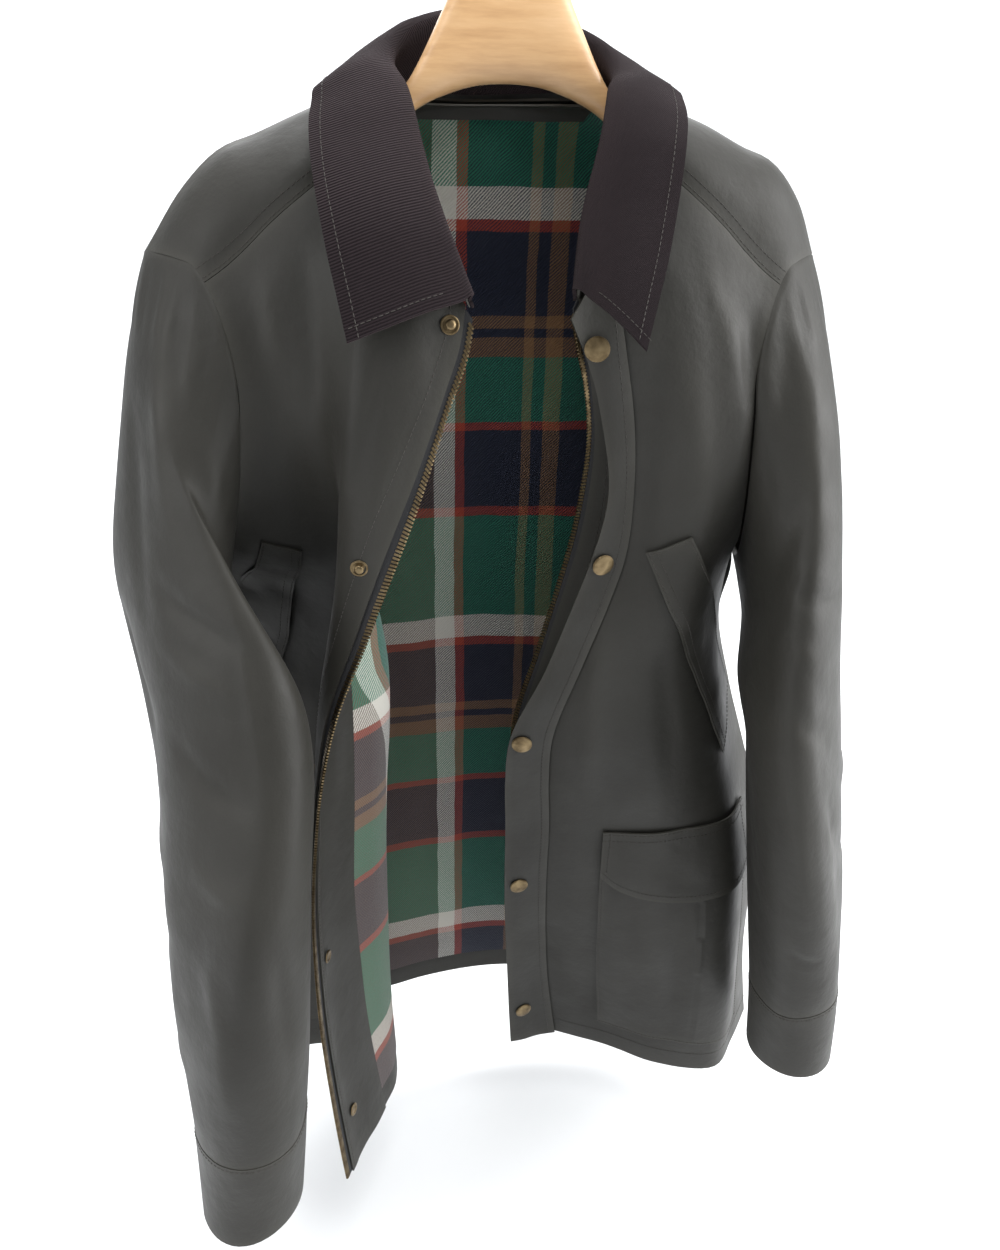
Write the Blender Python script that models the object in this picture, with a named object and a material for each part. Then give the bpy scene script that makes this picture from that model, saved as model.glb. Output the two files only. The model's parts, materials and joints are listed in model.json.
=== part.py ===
"""A waxed cotton field jacket hanging open on a contoured wooden hanger.

Metres, +Z up. The origin is the inner top of the hanger's hook, where a rail bears. The front faces -Y and
the wearer's left is +X. Each table below is in millimetres, and its first line names the columns.
"""

import math

import bmesh
import bpy
import numpy as np

MM = 0.001

# ---------------------------------------------------------------- driving sizes (mm)
SHELL_WALL = 1.5          # waxed cotton with its backing
LINING_WALL = 1.1
FACING_WALL = 1.3
TAPE_WALL = 0.9
CORDUROY_WALL = 1.9
UNDERCOLLAR_WALL = 1.0
PLY_GAP = 0.45            # between plies that lie on each other
SEAM_GAP = 0.2            # taken off each piece where two meet edge to edge
STAND_OFF = 0.2           # added under pieces laid on a front
ZIP_SHOWN = 5.5           # how far the zip tape stands out of a front edge
ARMHOLE_GAP = (0.9, 3.0)  # off the sleeve at the top of the armhole and at the armpit
ARMHOLE_STEP = 2.4        # how far the sleeve starts out of the body at the armpit
COLLAR_LIFT = 2.8         # the collar starts this far above the neckline
COLLAR_RAISE = 0.8        # and this far out of the cloth
COLLAR_GAP = 0.2          # from the collar's inner face to the middle between collar and under collar
UNDER_GAP = 0.15          # and from there to the under collar
UNDER_INSET = 1.2         # the under collar stays this far inside the collar's edges
NECK_END = 9.0            # the neck facing ends this far short of the neckline's ends
LINING_HEM = 22.0         # the lining ends this far above the hem
HEM = -928.0
ARMPIT = -440.0
ARMHOLE_MIDDLE = -9.0     # x half way between the armholes

# The armhole seam of one side, from its top round the front to the armpit and up the back.
ARMHOLE = (
    # place, out from the middle, y, z
    ("top", 201, -28, -226),
    ("front of the head", 180, -52, -229),
    ("yoke seam", 168, -62, -240),
    ("chest", 155, -76, -288),
    ("low front", 164, -62, -372),
    ("armpit", 190, 4, -440),
    ("low back", 190, 52, -372),
    ("blade", 189, 58, -300),
    ("back yoke", 197, 40, -248),
    ("back of the head", 202, 6, -229),
)
LOOP_STEPS = 2                                  # mesh points for each row of the armhole
LOOP = LOOP_STEPS * len(ARMHOLE)
YOKE_CORNER = 2 * LOOP_STEPS                    # mesh point where the yoke seam meets the armhole
ARMPIT_POINT = 5 * LOOP_STEPS

# Shoulder seam over the hanger's arm, from the neck to the armhole's top.
SHOULDER = {
    # x, y, z
    "left": ((66, -2, -139), (108, -6, -151), (143, -12, -165.5), (171, -22, -182), (192, -28, -226)),
    "right": ((-76, -2, -139), (-111, -6, -151.5), (-145, -12, -166), (-176, -22, -182), (-210, -28, -226)),
}
# Seam between the yoke and the front, from the neckline to the armhole.
YOKE_SEAM = {
    # x, y, z
    "left": ((63, -50, -167), (93, -60, -188), (119, -62, -208), (141, -61, -227), (159, -62, -240)),
    "right": ((-81, -50, -167), (-111, -60, -188), (-137, -62, -208), (-159, -61, -227), (-177, -62, -240)),
}
# Neckline of each front, from the zip's top end up to the yoke seam.
NECKLINE = {
    # x, y, z
    "left": ((29, -76, -249), (48, -64, -210), (63, -50, -167)),
    "right": ((-34, -101, -250), (-62, -82, -212), (-81, -50, -167)),
}
BACK_NECK = ((-76, -2, -139), (-62, 30, -141), (-9, 53, -142), (50, 30, -141), (66, -2, -139))
# Side seams from the armpit to the hem.
SIDE_SEAM = {
    # z, x, y
    "left": ((-440, 181, 4), (-500, 181, 12), (-570, 201, 8), (-650, 224, -3), (-740, 236, -8),
             (-850, 243, -9),
             (-928, 256, -8)),
    "right": ((-440, -199, 4), (-500, -200, 16), (-570, -228, 16), (-740, -250, 0), (-850, -253, -6),
              (-928, -258, -8)),
}
# Plan of each open front at a set of heights. The columns run from the zip edge round to the side seam.
FRONT_PLAN = {
    # z, edge x y, placket x y, breast x y, middle x y, flank x y, side x y
    "left": (
        (-170, 40, -46, 62, -50, 85, -52, 115, -48, 140, -42, 160, -36),
        (-240, 30, -75, 58, -78, 85, -82, 112, -76, 138, -68, 159, -62),
        (-330, 48, -54, 72, -73, 96, -80, 120, -82, 138, -80, 148, -72),
        (-400, 46, -40, 76, -67, 100, -76, 122, -76, 142, -60, 162, -40),
        (-480, 28, -37, 56, -64, 88, -74, 120, -71, 152, -42, 179, 10),
        (-557, 10, -33, 35, -56, 74, -70, 118, -70, 166, -48, 202, 6),
        (-643, 11, -22, 39, -43, 80, -55, 128, -63, 180, -52, 222, -4),
        (-740, 15, -10, 43, -29, 84, -45, 134, -61, 190, -58, 236, -8),
        (-854, 22, 4, 54, -11, 96, -29, 142, -55, 200, -62, 246, -9),
        (-931, 31, 10, 66, -4, 105, -21, 146, -51, 204, -62, 257, -8),
    ),
    "right": (
        (-170, -60, -46, -80, -50, -102, -52, -124, -48, -152, -42, -178, -36),
        (-240, -36, -99, -64, -101, -92, -97, -114, -82, -148, -68, -177, -62),
        (-310, -53, -112, -81, -115, -102, -110, -113, -88, -140, -73, -165, -76),
        (-370, -75, -115, -102, -111, -111, -93, -108, -68, -138, -54, -173, -60),
        (-440, -102, -112, -120, -97, -112, -73, -92, -48, -140, -16, -199, 4),
        (-500, -125, -110, -131, -88, -111, -62, -84, -34, -140, 2, -200, 16),
        (-600, -141, -107, -137, -82, -114, -52, -88, -18, -152, 12, -242, 12),
        (-720, -148, -107, -140, -80, -118, -48, -92, -10, -158, 16, -250, 0),
        (-850, -143, -113, -131, -86, -111, -56, -92, -8, -162, 18, -253, -6),
        (-931, -135, -121, -120, -92, -103, -62, -90, -10, -164, 18, -258, -8),
    ),
}
FRONT_COLUMNS = (0, 0.35, 0.7, 1, 1.5, 2, 2.5, 3, 3.5, 4, 4.5, 5)   # mesh columns, as places in the plan
FACING_END = 2                                  # place in the plan where a facing meets the lining
NECK_COLUMNS = 5                                # mesh columns of a front that end on the neckline
YOKE_COLUMNS = 6                                # and on the yoke seam
BACK_NECK_COLUMNS = 6
LOWER_ROWS = (-492, -556, -600, -646, -704, -772, -836, -892, -928)

# Depth of the back's middle below the neck.
BACK_MIDDLE = (
    # z, y
    (-142, 53), (-175, 62), (-240, 68), (-330, 73), (-440, 76), (-560, 78), (-740, 79), (-928, 84),
)
BACK_ROUND = 2.8                                # squareness of the back's plan
SHOULDER_ROWS = 4                               # rows of the back that turn over the shoulder
BLADE_DROP = 34

# Soft folds that run down the body.
FOLDS = {
    # across (0 to 1), top, foot, half width (across), depth
    "left": ((0.36, -560, -990, 0.08, 3.0), (0.80, -600, -990, 0.07, 3.0)),
    "right": ((0.84, -480, -990, 0.07, 5.0),),
    "back": ((0.18, -440, -990, 0.06, 5.0), (0.32, -400, -990, 0.06, -4.0), (0.52, -420, -990, 0.06, 4.0),
             (0.69, -360, -990, 0.06, -4.0), (0.83, -440, -990, 0.06, 5.0)),
}

# Rings of each sleeve below its armhole seam. Its flat side faces the body, and it swings forward.
SLEEVE = {
    # x, y, outer z, inner z, half width, half depth, turn, rise of the front, drawn up (degrees), crease
    "right": (
        (-210, -40, -294, -472, 16, 66, 25, 0, 33, 0),
        (-199, -73, -385, -508, 26, 83, 41, 0, 14, 1),
        (-190, -104, -485, -545, 33, 80, 35, 0, 5, 3),
        (-188, -136, -585, -598, 40, 72, 19, 4, 0, 4),
        (-188, -164, -675, -680, 41, 60, 10, 8, 0, 4),
        (-191, -182, -756, -754, 36, 48, 7, 11, 0, 2),
        (-196, -189, -828, -824, 33, 45, 5, 12, 0, 0),
    ),
    "left": (
        (195, -38, -292, -474, 16, 66, 20, 0, 30, 0),
        (198, -60, -380, -508, 26, 72, 24, 0, 14, 1),
        (200, -80, -480, -535, 28, 73, 22, 0, 5, 3),
        (209, -95, -580, -596, 31, 68, 19, 4, 0, 4),
        (222, -106, -680, -684, 33, 59, 15, 8, 0, 4),
        (232, -114, -760, -780, 31, 46, 11, 11, 0, 2),
        (237, -118, -835, -842, 31, 43, 9, 12, 0, 0),
    ),
}
SLEEVE_RINGS = 2                                # mesh rings for each row
CUFF_ROW = 6                                    # row of the cuff seam, the armhole being row 0
CUFF_EXTRA = 0.4                                # each face of the cuff's double cloth

# Collar from the wearer's right point round the neck to the left point.
COLLAR = (
    # place, neckline point, fold x y z, outer edge x y z
    ("right point", 0, -35, -104, -240, -101, -120, -262),
    ("right front", 2.5, -49, -85, -203, -111, -102, -213),
    ("right side", 5, -59, -47, -164, -115, -68, -172),
    ("right shoulder", 7, -63, -24, -142, -112, -42, -151),
    ("right neck", 9, -66, -2, -124, -104, -16, -142),
    ("right hollow", 9.8, -58, 15, -112, -92, 18, -141),
    ("right back", 10.6, -44, 29, -103, -74, 50, -146),
    ("back", 12, -6, 44, -97, -6, 80, -154),
    ("left back", 13.4, 36, 30, -103, 64, 50, -146),
    ("left hollow", 14.2, 51, 15, -112, 79, 17, -140),
    ("left neck", 15, 60, -2, -124, 89, -14, -139),
    ("left shoulder", 17, 56, -24, -140, 95, -37, -145),
    ("left side", 19, 48, -45, -161, 91, -61, -165),
    ("left front", 21.5, 34, -65, -201, 81, -84, -209),
    ("left point", 24, 26, -86, -240, 60, -117, -268),
)
COLLAR_ROLL = 4.2                               # radius of the collar's fold
COLLAR_SWELL = 3.0                              # how far the fall rounds outwards

# Free edge of the storm flap on the left front, from the neckline to the hem.
FLAP_EDGE = (
    # z, x, y
    (-249, 21, -87), (-290, 41, -79), (-330, 52, -76), (-370, 57, -75), (-414, 49, -70), (-474, 32, -64),
    (-524, 16, -60), (-560, 1, -56), (-622, 2, -46), (-717, 6, -34), (-818, 12, -21), (-928, 21, -11),
)
FLAP_LIFT = 2.0                                 # middle of the flap off the middle of the front, at its seam
FLAP_SWELL = 2.0                                # how far it rounds forward
FLAP_TOP_CUT = 8.0                              # it starts this far under the neckline

# Snaps down the placket.
SNAPS = (
    # cap on the flap: height, mesh column; stud and its back on the right front: height, mesh column
    (-272, 2.0, -256, 1.0),
    (-413, 1.7, -391, 1.9),
    (-558, 2.0, -546, 2.2),
    (-713, 1.8, -716, 2.2),
    (-884, 1.8, -880, 2.2),
)
SNAP_CAP = ((7.0, 0.0), (7.6, 0.5), (7.2, 1.3), (4.5, 1.9))
STUD = ((5.3, 0.0), (5.3, 0.6), (4.2, 0.9), (2.4, 1.0), (2.3, 2.2), (2.9, 3.0), (2.2, 3.8))
STUD_BACK = ((5.0, 0.0), (5.2, 0.6), (3.6, 1.1))
SNAP_SIDES = 14
SEAT_TESTS = 31                                 # points tested each way under a snap part

# Slanted welt of the handwarmer pocket, by stations down it.
WELT = {
    # front edge: column of the plan and height, rear edge: column and height
    "left": (
        (1.46, -405, 2.67, -393), (2.78, -466, 3.69, -444),
        (3.60, -528, 4.24, -496), (4.08, -589, 4.70, -547),
    ),
    "right": (
        (3.95, -405, 4.55, -393), (4.15, -466, 4.70, -444),
        (4.30, -528, 4.80, -496), (4.45, -589, 4.90, -547),
    ),
}
WELT_GRID = (14, 4)
# Patch pocket, in columns of the plan.
POCKET = {
    # columns of the bag and the flap, and the pleat's
    "left": (2.0, 2.25, 2.5, 3.0, 3.25, 3.5, 4.0, 4.5),
    "right": (3.2, 3.35, 3.5, 3.75, 4.0, 4.25, 4.5, 4.7),
}
PLEAT = 4                                       # which of them is the bag's pleat
PLEAT_DEPTH = 1.6
POCKET_FLAP_TOP = -646
POCKET_FLAP_LIFT = (0.5, 5.4)                   # off the front at its seam and at its foot
POCKET_FLAP_FOOT = (-690, -703, -710, -716, -717, -717, -713, -704)
POCKET_BAG = (-692, -704, -772, -836, -892)
POCKET_SWELL = (0.0, 0.6, 3.2, 3.4, 0.0)        # hollow between the bag and the front, by row

# Hanger, one half from the middle out to the end of the arm.
HANGER = (
    # x, top, bottom, middle of the thickness, thickness
    (0, -60, -137, -4, 22),
    (13, -60, -137.6, -4, 22),
    (22, -68, -139, -4, 22),
    (30, -85, -141, -4, 22),
    (42, -108, -145, -4, 20),
    (53, -129, -150, -4, 18),
    (64, -144.5, -158, -4, 18),
    (76, -146, -166, -4, 20),
    (95, -149.5, -178, -5, 24),
    (120, -157.5, -190, -8, 28),
    (145, -169, -202, -13, 31),
    (160, -179, -211, -18, 29),
    (167, -187, -212, -20, 22),
    (170, -193, -209, -21, 10),
)
HANGER_ROUND = 2.6
HOOK_WIRE = 1.9                                 # radius of the wire
HOOK_PATH = (
    # x, y, z of the wire's middle, from inside the wood to the tip
    (0, -4, -59.5), (0, -4, -52), (1.5, -3, -45), (7, -1.5, -38), (13.4, -0.5, -30.6), (18, 0, -22.5),
    (18.8, 0, -13.6), (15.6, 0, -5.2), (8.8, 0, 0.2), (0, 0, 1.9), (-8.8, 0, 0.2), (-15.6, 0, -5.2),
    (-18.8, 0, -13.6), (-17.9, 0, -22.7), (-13.4, 0, -30.6),
)
HANGER_SIDES = 16
FERRULE = ((5.2, 0.0), (5.2, 1.6), (3.4, 4.6))

# Zip slider near the foot of the left tape, in its own frame: beyond the edge, off the tape, down the tape.
SLIDER_HEIGHT = -886
SLIDER_SECTION = (
    (-5, 2.0), (3, 2.0), (3, -2.0), (-5, -2.0), (-5, -0.85), (1.6, -0.85), (1.6, 0.85), (-5, 0.85),
)
SLIDER_LENGTH = 12.0
HINGE = (-1.0, 4.7, -3.0)                       # middle of the pull tab's pin
PIN_RADIUS = 0.8
EYE_RADII = (1.15, 2.1)
PULL_WIDTH = 4.6
PULL_LENGTH = 22.0

COLOURS = {
    # name: red, green, blue, roughness, metallic
    "waxed_cotton": (0.050, 0.050, 0.044, 0.55, 0.0),
    "corduroy": (0.024, 0.015, 0.017, 0.85, 0.0),
    "plaid_lining": (0.045, 0.085, 0.060, 0.90, 0.0),
    "zip_tape": (0.012, 0.012, 0.014, 0.80, 0.0),
    "antique_brass": (0.30, 0.23, 0.13, 0.35, 1.0),
    "beech": (0.62, 0.41, 0.21, 0.45, 0.0),
    "steel": (0.62, 0.62, 0.60, 0.25, 1.0),
}


# ---------------------------------------------------------------- curves and surfaces
def through(rows, at):
    """Points at the given places on a smooth curve through the rows, where row k is at place k."""
    return through_places(range(len(rows)), rows, at)


def through_places(places, rows, at):
    """Cubic Hermite curve with three-point slopes through rows that lie at rising places."""
    places = np.asarray(places, float)
    rows = np.asarray(rows, float)
    at = np.asarray(at, float)
    spans = np.diff(places)
    steps = np.diff(rows, axis=0) / spans.reshape(-1, *([1] * (rows.ndim - 1)))
    slopes = np.empty_like(rows)
    slopes[0] = steps[0]
    slopes[-1] = steps[-1]
    for k in range(1, len(rows) - 1):
        before, after = spans[k - 1], spans[k]
        slopes[k] = (steps[k - 1] * after + steps[k] * before) / (before + after)
    which = np.clip(np.searchsorted(places, at, side="right") - 1, 0, len(spans) - 1)
    span = spans[which]
    t = (at - places[which]) / span
    shape = t.shape + (1,) * (rows.ndim - 1)
    t = t.reshape(shape)
    span = span.reshape(shape)
    start, end = rows[which], rows[which + 1]
    return (
        (2 * t**3 - 3 * t**2 + 1) * start
        + (t**3 - 2 * t**2 + t) * span * slopes[which]
        + (3 * t**2 - 2 * t**3) * end
        + (t**3 - t**2) * span * slopes[which + 1]
    )


def through_loop(rows, at):
    """Points on a closed smooth curve through the rows."""
    rows = np.asarray(rows, float)
    padded = np.concatenate([rows[-3:], rows, rows[:3]])
    return through(padded, np.asarray(at, float) % len(rows) + 3)


def ease(t):
    """Smooth step from 0 to 1."""
    t = np.clip(t, 0.0, 1.0)
    return t * t * (3 - 2 * t)


def grid_normals(grid, outward, tube=False):
    """Unit normals of a grid of points, turned to the side that the outward vectors point to."""
    if tube:
        across = np.roll(grid, -1, axis=1) - np.roll(grid, 1, axis=1)
    else:
        across = np.gradient(grid, axis=1)
    down = np.gradient(grid, axis=0)
    normals = np.cross(across, down)
    normals /= np.linalg.norm(normals, axis=2, keepdims=True)
    if np.sum(normals * outward) < 0:
        normals = -normals
    return normals


def trim(panel, left=0.0, right=0.0, top=0.0, foot=0.0):
    """A panel with strips of the given widths cut off its borders. The rest keeps to its facets."""
    grid, normals = (part.copy() for part in panel)
    for size, edge, inner in ((left, np.s_[:, 0], np.s_[:, 1]), (right, np.s_[:, -1], np.s_[:, -2]),
                              (top, np.s_[0], np.s_[1]), (foot, np.s_[-1], np.s_[-2])):
        if np.any(size):
            share = size / np.linalg.norm(grid[inner] - grid[edge], axis=-1, keepdims=True)
            normals[edge] += (normals[inner] - normals[edge]) * share
            grid[edge] += (grid[inner] - grid[edge]) * share
    return grid, normals


# ---------------------------------------------------------------- meshes
def material(name):
    red, green, blue, roughness, metallic = COLOURS[name]
    found = bpy.data.materials.get(name)
    if found:
        return found
    made = bpy.data.materials.new(name)
    made.use_nodes = True
    shader = made.node_tree.nodes["Principled BSDF"]
    shader.inputs["Base Color"].default_value = (red, green, blue, 1.0)
    shader.inputs["Roughness"].default_value = roughness
    shader.inputs["Metallic"].default_value = metallic
    made.diffuse_color = (red, green, blue, 1.0)
    return made


def add_mesh(name, points, faces, finish):
    """One closed body, its faces outwards, from points in millimetres."""
    mesh = bpy.data.meshes.new(name)
    mesh.from_pydata([tuple(p * MM) for p in np.asarray(points, float)], [], faces)
    work = bmesh.new()
    work.from_mesh(mesh)
    bmesh.ops.recalc_face_normals(work, faces=work.faces)
    work.to_mesh(mesh)
    work.free()
    mesh.shade_smooth()
    mesh.set_sharp_from_angle(angle=math.radians(50))
    mesh.materials.append(material(finish))
    made = bpy.data.objects.new(name, mesh)
    bpy.context.scene.collection.objects.link(made)
    return made


def wall_between(name, outer, inner, finish, tube=False):
    """A wall between two grids of points."""
    rows, columns = outer.shape[:2]
    points = np.concatenate([outer.reshape(-1, 3), inner.reshape(-1, 3)])
    back = rows * columns
    wrap = columns if tube else columns - 1
    faces = []
    for i in range(rows - 1):
        for j in range(wrap):
            a, b = i * columns + j, i * columns + (j + 1) % columns
            c, d = b + columns, a + columns
            faces += [(a, b, c), (a, c, d), (back + a, back + c, back + b), (back + a, back + d, back + c)]
    for i in (0, rows - 1):
        for j in range(wrap):
            a, b = i * columns + j, i * columns + (j + 1) % columns
            faces.append((a, b, back + b, back + a))
    if not tube:
        for j in (0, columns - 1):
            for i in range(rows - 1):
                a, b = i * columns + j, (i + 1) * columns + j
                faces.append((a, b, back + b, back + a))
    return add_mesh(name, points, faces, finish)


def wall(name, panel, outer, inner, finish, tube=False):
    """A cloth wall between two offsets along the normals of a panel."""
    grid, normals = panel
    outer = np.broadcast_to(np.asarray(outer, float), grid.shape[:2])[..., None]
    inner = np.broadcast_to(np.asarray(inner, float), grid.shape[:2])[..., None]
    return wall_between(name, grid + normals * outer, grid + normals * inner, finish, tube)


def loft(name, rings, finish):
    """A solid through closed rings of equal count, with flat ends."""
    rings = np.asarray(rings, float)
    count, around = rings.shape[:2]
    faces = []
    for i in range(count - 1):
        for j in range(around):
            a, b = i * around + j, i * around + (j + 1) % around
            faces.append((a, b, b + around, a + around))
    faces.append(tuple(range(around)))
    faces.append(tuple((count - 1) * around + j for j in range(around)))
    return add_mesh(name, rings.reshape(-1, 3), faces, finish)


def turned(name, centre, axis, profile, finish, sides=20):
    """A solid of revolution. The profile has pairs of radius and height along the axis."""
    axis = np.asarray(axis, float) / np.linalg.norm(axis)
    side = np.cross(axis, (0.0, 0.0, 1.0) if abs(axis[2]) < 0.9 else (1.0, 0.0, 0.0))
    side /= np.linalg.norm(side)
    other = np.cross(axis, side)
    angles = np.arange(sides) * 2 * math.pi / sides
    circle = np.cos(angles)[:, None] * side + np.sin(angles)[:, None] * other
    rings = [np.asarray(centre, float) + axis * height + circle * radius for radius, height in profile]
    return loft(name, rings, finish)


def swept(name, path, radius, finish, sides=12):
    """A round wire along a path, with flat ends."""
    path = np.asarray(path, float)
    ahead = np.gradient(path, axis=0)
    ahead /= np.linalg.norm(ahead, axis=1, keepdims=True)
    side = np.cross(ahead, (0.0, 1.0, 0.0))
    side /= np.linalg.norm(side, axis=1, keepdims=True)
    other = np.cross(ahead, side)
    angles = np.arange(sides) * 2 * math.pi / sides
    rings = path[:, None] + radius * (
        np.cos(angles)[None, :, None] * side[:, None] + np.sin(angles)[None, :, None] * other[:, None]
    )
    return loft(name, rings, finish)


def joined(target, others):
    """The target with the others melted into it."""
    bpy.context.view_layer.objects.active = target
    for other in others:
        union = target.modifiers.new("join", "BOOLEAN")
        union.operation = "UNION"
        union.solver = "EXACT"
        union.object = other
        bpy.ops.object.modifier_apply(modifier=union.name)
        bpy.data.objects.remove(other, do_unlink=True)
    return target


# ---------------------------------------------------------------- body panels
SIGN = {"left": 1.0, "right": -1.0}


def armhole(side):
    """Mesh points of the armhole seam: 0 at the top, then down the front."""
    rows = np.asarray([row[1:] for row in ARMHOLE], float)
    rows[:, 0] = ARMHOLE_MIDDLE + SIGN[side] * rows[:, 0]
    return through_loop(rows, np.arange(LOOP) / LOOP_STEPS)


def side_edge(side, first, step):
    """A panel's outer edge: along the armhole from one mesh point to the armpit, then down the side seam."""
    loop = armhole(side)
    count = abs(ARMPIT_POINT - first)
    upper = [loop[(first + step * k) % LOOP] for k in range(count + 1)]
    seam = np.asarray(SIDE_SEAM[side], float)
    heights = np.asarray(LOWER_ROWS, float)
    lower = through_places(-seam[:, 0], seam[:, 1:], -heights)
    return np.vstack([upper, np.column_stack([lower, heights])])


def with_folds(side, grid, across, outward):
    """The grid with its soft folds, and its normals."""
    depth = np.zeros(grid.shape[:2])
    for centre, top, foot, half, size in FOLDS[side]:
        ends = ease((top - grid[:, :, 2]) / 90.0) * ease((grid[:, :, 2] - foot) / 60.0)
        depth += size * ends * np.exp(-(((across[None] - centre) / half) ** 2))
    depth *= 1 - (2 * across[None] - 1) ** 12
    grid = grid + grid_normals(grid, outward) * depth[..., None]
    return grid, grid_normals(grid, outward)


def front_grid(side):
    """Mesh points of one front: rows from its top down to the hem, columns from the zip edge."""
    plan = np.asarray(FRONT_PLAN[side], float)
    edge = side_edge(side, YOKE_CORNER, 1)
    columns = np.asarray(FRONT_COLUMNS, float)
    neck = through(NECKLINE[side], np.linspace(0, len(NECKLINE[side]) - 1, NECK_COLUMNS + 1))
    yoke = through(YOKE_SEAM[side], np.linspace(0, len(YOKE_SEAM[side]) - 1, YOKE_COLUMNS + 1))
    top = np.vstack([neck, yoke[1:]])
    grid = np.empty((len(edge), len(columns), 3))
    for i, outer in enumerate(edge):
        level = ease((edge[0, 2] - outer[2]) / (edge[0, 2] - ARMPIT))
        grid[i, :, 2] = outer[2] + (top[:, 2] - edge[0, 2]) * (1 - level)
        for j, column in enumerate(columns):
            flat = through_places(-plan[:, 0], plan[:, 1:], -grid[i, j, 2]).reshape(-1, 2)
            grid[i, j, :2] = through(flat, column)
    slip = (edge - grid[:, -1]) * (1, 1, 0)
    grid += slip[:, None] * ease((columns - 3.0) / 2.0)[None, :, None]
    fade = ease(1 - (top[None, :, 2] - grid[:, :, 2]) / 90.0)
    grid += (top - grid[0])[None] * fade[..., None]
    return with_folds(side, grid, columns / columns[-1], np.array([0.0, -1.0, 0.0]))


def yoke_grid(side):
    """Mesh points of a yoke: rows round the shoulder from the shoulder seam to the yoke seam."""
    ridge = through(SHOULDER[side], np.linspace(0, len(SHOULDER[side]) - 1, YOKE_COLUMNS + 1))
    seam = through(YOKE_SEAM[side], np.linspace(0, len(YOKE_SEAM[side]) - 1, YOKE_COLUMNS + 1))
    turns = np.linspace(0, 1, YOKE_CORNER + 1)
    over = np.column_stack([turns, np.sin(turns * math.pi / 2), 1 - np.cos(turns * math.pi / 2)])
    grid = ridge[None] + (seam - ridge)[None] * over[:, None]
    slip = armhole(side)[: YOKE_CORNER + 1] - grid[:, -1]
    grid += slip[:, None] * (np.linspace(0, 1, YOKE_COLUMNS + 1) ** 3)[None, :, None]
    return grid, grid_normals(grid, np.array([0.0, -1.0, 0.6]))


def back_grid():
    """Mesh points of the back: rows from its top down to the hem, columns from right to left."""
    right = side_edge("right", LOOP, -1)
    left = side_edge("left", LOOP, -1)
    places = np.linspace(0, len(SHOULDER["left"]) - 1, YOKE_COLUMNS + 1)
    neck = through(BACK_NECK, np.linspace(0, len(BACK_NECK) - 1, BACK_NECK_COLUMNS + 1))
    shoulders = [through(SHOULDER[side], places) for side in ("right", "left")]
    top = np.vstack([shoulders[0][::-1], neck[1:-1], shoulders[1]])
    share = (top[:, 0] - top[0, 0]) / (top[-1, 0] - top[0, 0])
    place = 2 * share - 1
    blade_y = 62 - 20 * np.abs(place) ** 4
    blade_z = top[:, 2] - BLADE_DROP + 12 * np.abs(place) ** 3
    middle = np.asarray(BACK_MIDDLE, float)
    start_z = (right[SHOULDER_ROWS, 2] + left[SHOULDER_ROWS, 2]) / 2
    grid = np.empty((len(right), len(top), 3))
    for i in range(len(right)):
        if i <= SHOULDER_ROWS:
            angle = i / SHOULDER_ROWS * math.pi / 2
            grid[i, :, 0] = top[:, 0]
            grid[i, :, 1] = top[:, 1] + (blade_y - top[:, 1]) * math.sin(angle)
            grid[i, :, 2] = top[:, 2] + (blade_z - top[:, 2]) * (1 - math.cos(angle))
            continue
        edge_z = (right[i, 2] + left[i, 2]) / 2
        level = ease((start_z - edge_z) / (start_z - ARMPIT))
        depth = edge_z + (blade_z - start_z) * (1 - level)
        centre = through_places(-middle[:, 0], middle[:, 1], -np.clip(depth, HEM, -142))
        edge = right[i] + (left[i] - right[i]) * share[:, None]
        settle = ease((start_z - edge_z) / (start_z - HEM) * 6)
        grid[i, :, 0] = edge[:, 0] * settle + top[:, 0] * (1 - settle)
        grid[i, :, 1] = edge[:, 1] + (centre - edge[:, 1]) * (1 - np.abs(place) ** BACK_ROUND)
        grid[i, :, 2] = depth
    grid += (right - grid[:, 0])[:, None] * ease(1 - share * 4)[None, :, None]
    grid += (left - grid[:, -1])[:, None] * ease(share * 4 - 3)[None, :, None]
    return with_folds("back", grid, share, np.array([0.0, 1.0, 0.3]))


def under_arm():
    """0 at the top of the armhole, 1 at the armpit."""
    return (1 - np.cos(np.arange(LOOP) * 2 * math.pi / LOOP)) / 2


def armhole_normals(side, front, yoke, back):
    """The body's normals round the armhole."""
    edge = -1 if side == "left" else 0
    return np.vstack([
        yoke[1][:YOKE_CORNER, -1],
        front[1][: ARMPIT_POINT - YOKE_CORNER, -1],
        back[1][ARMPIT_POINT:0:-1, edge],
    ])


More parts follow.
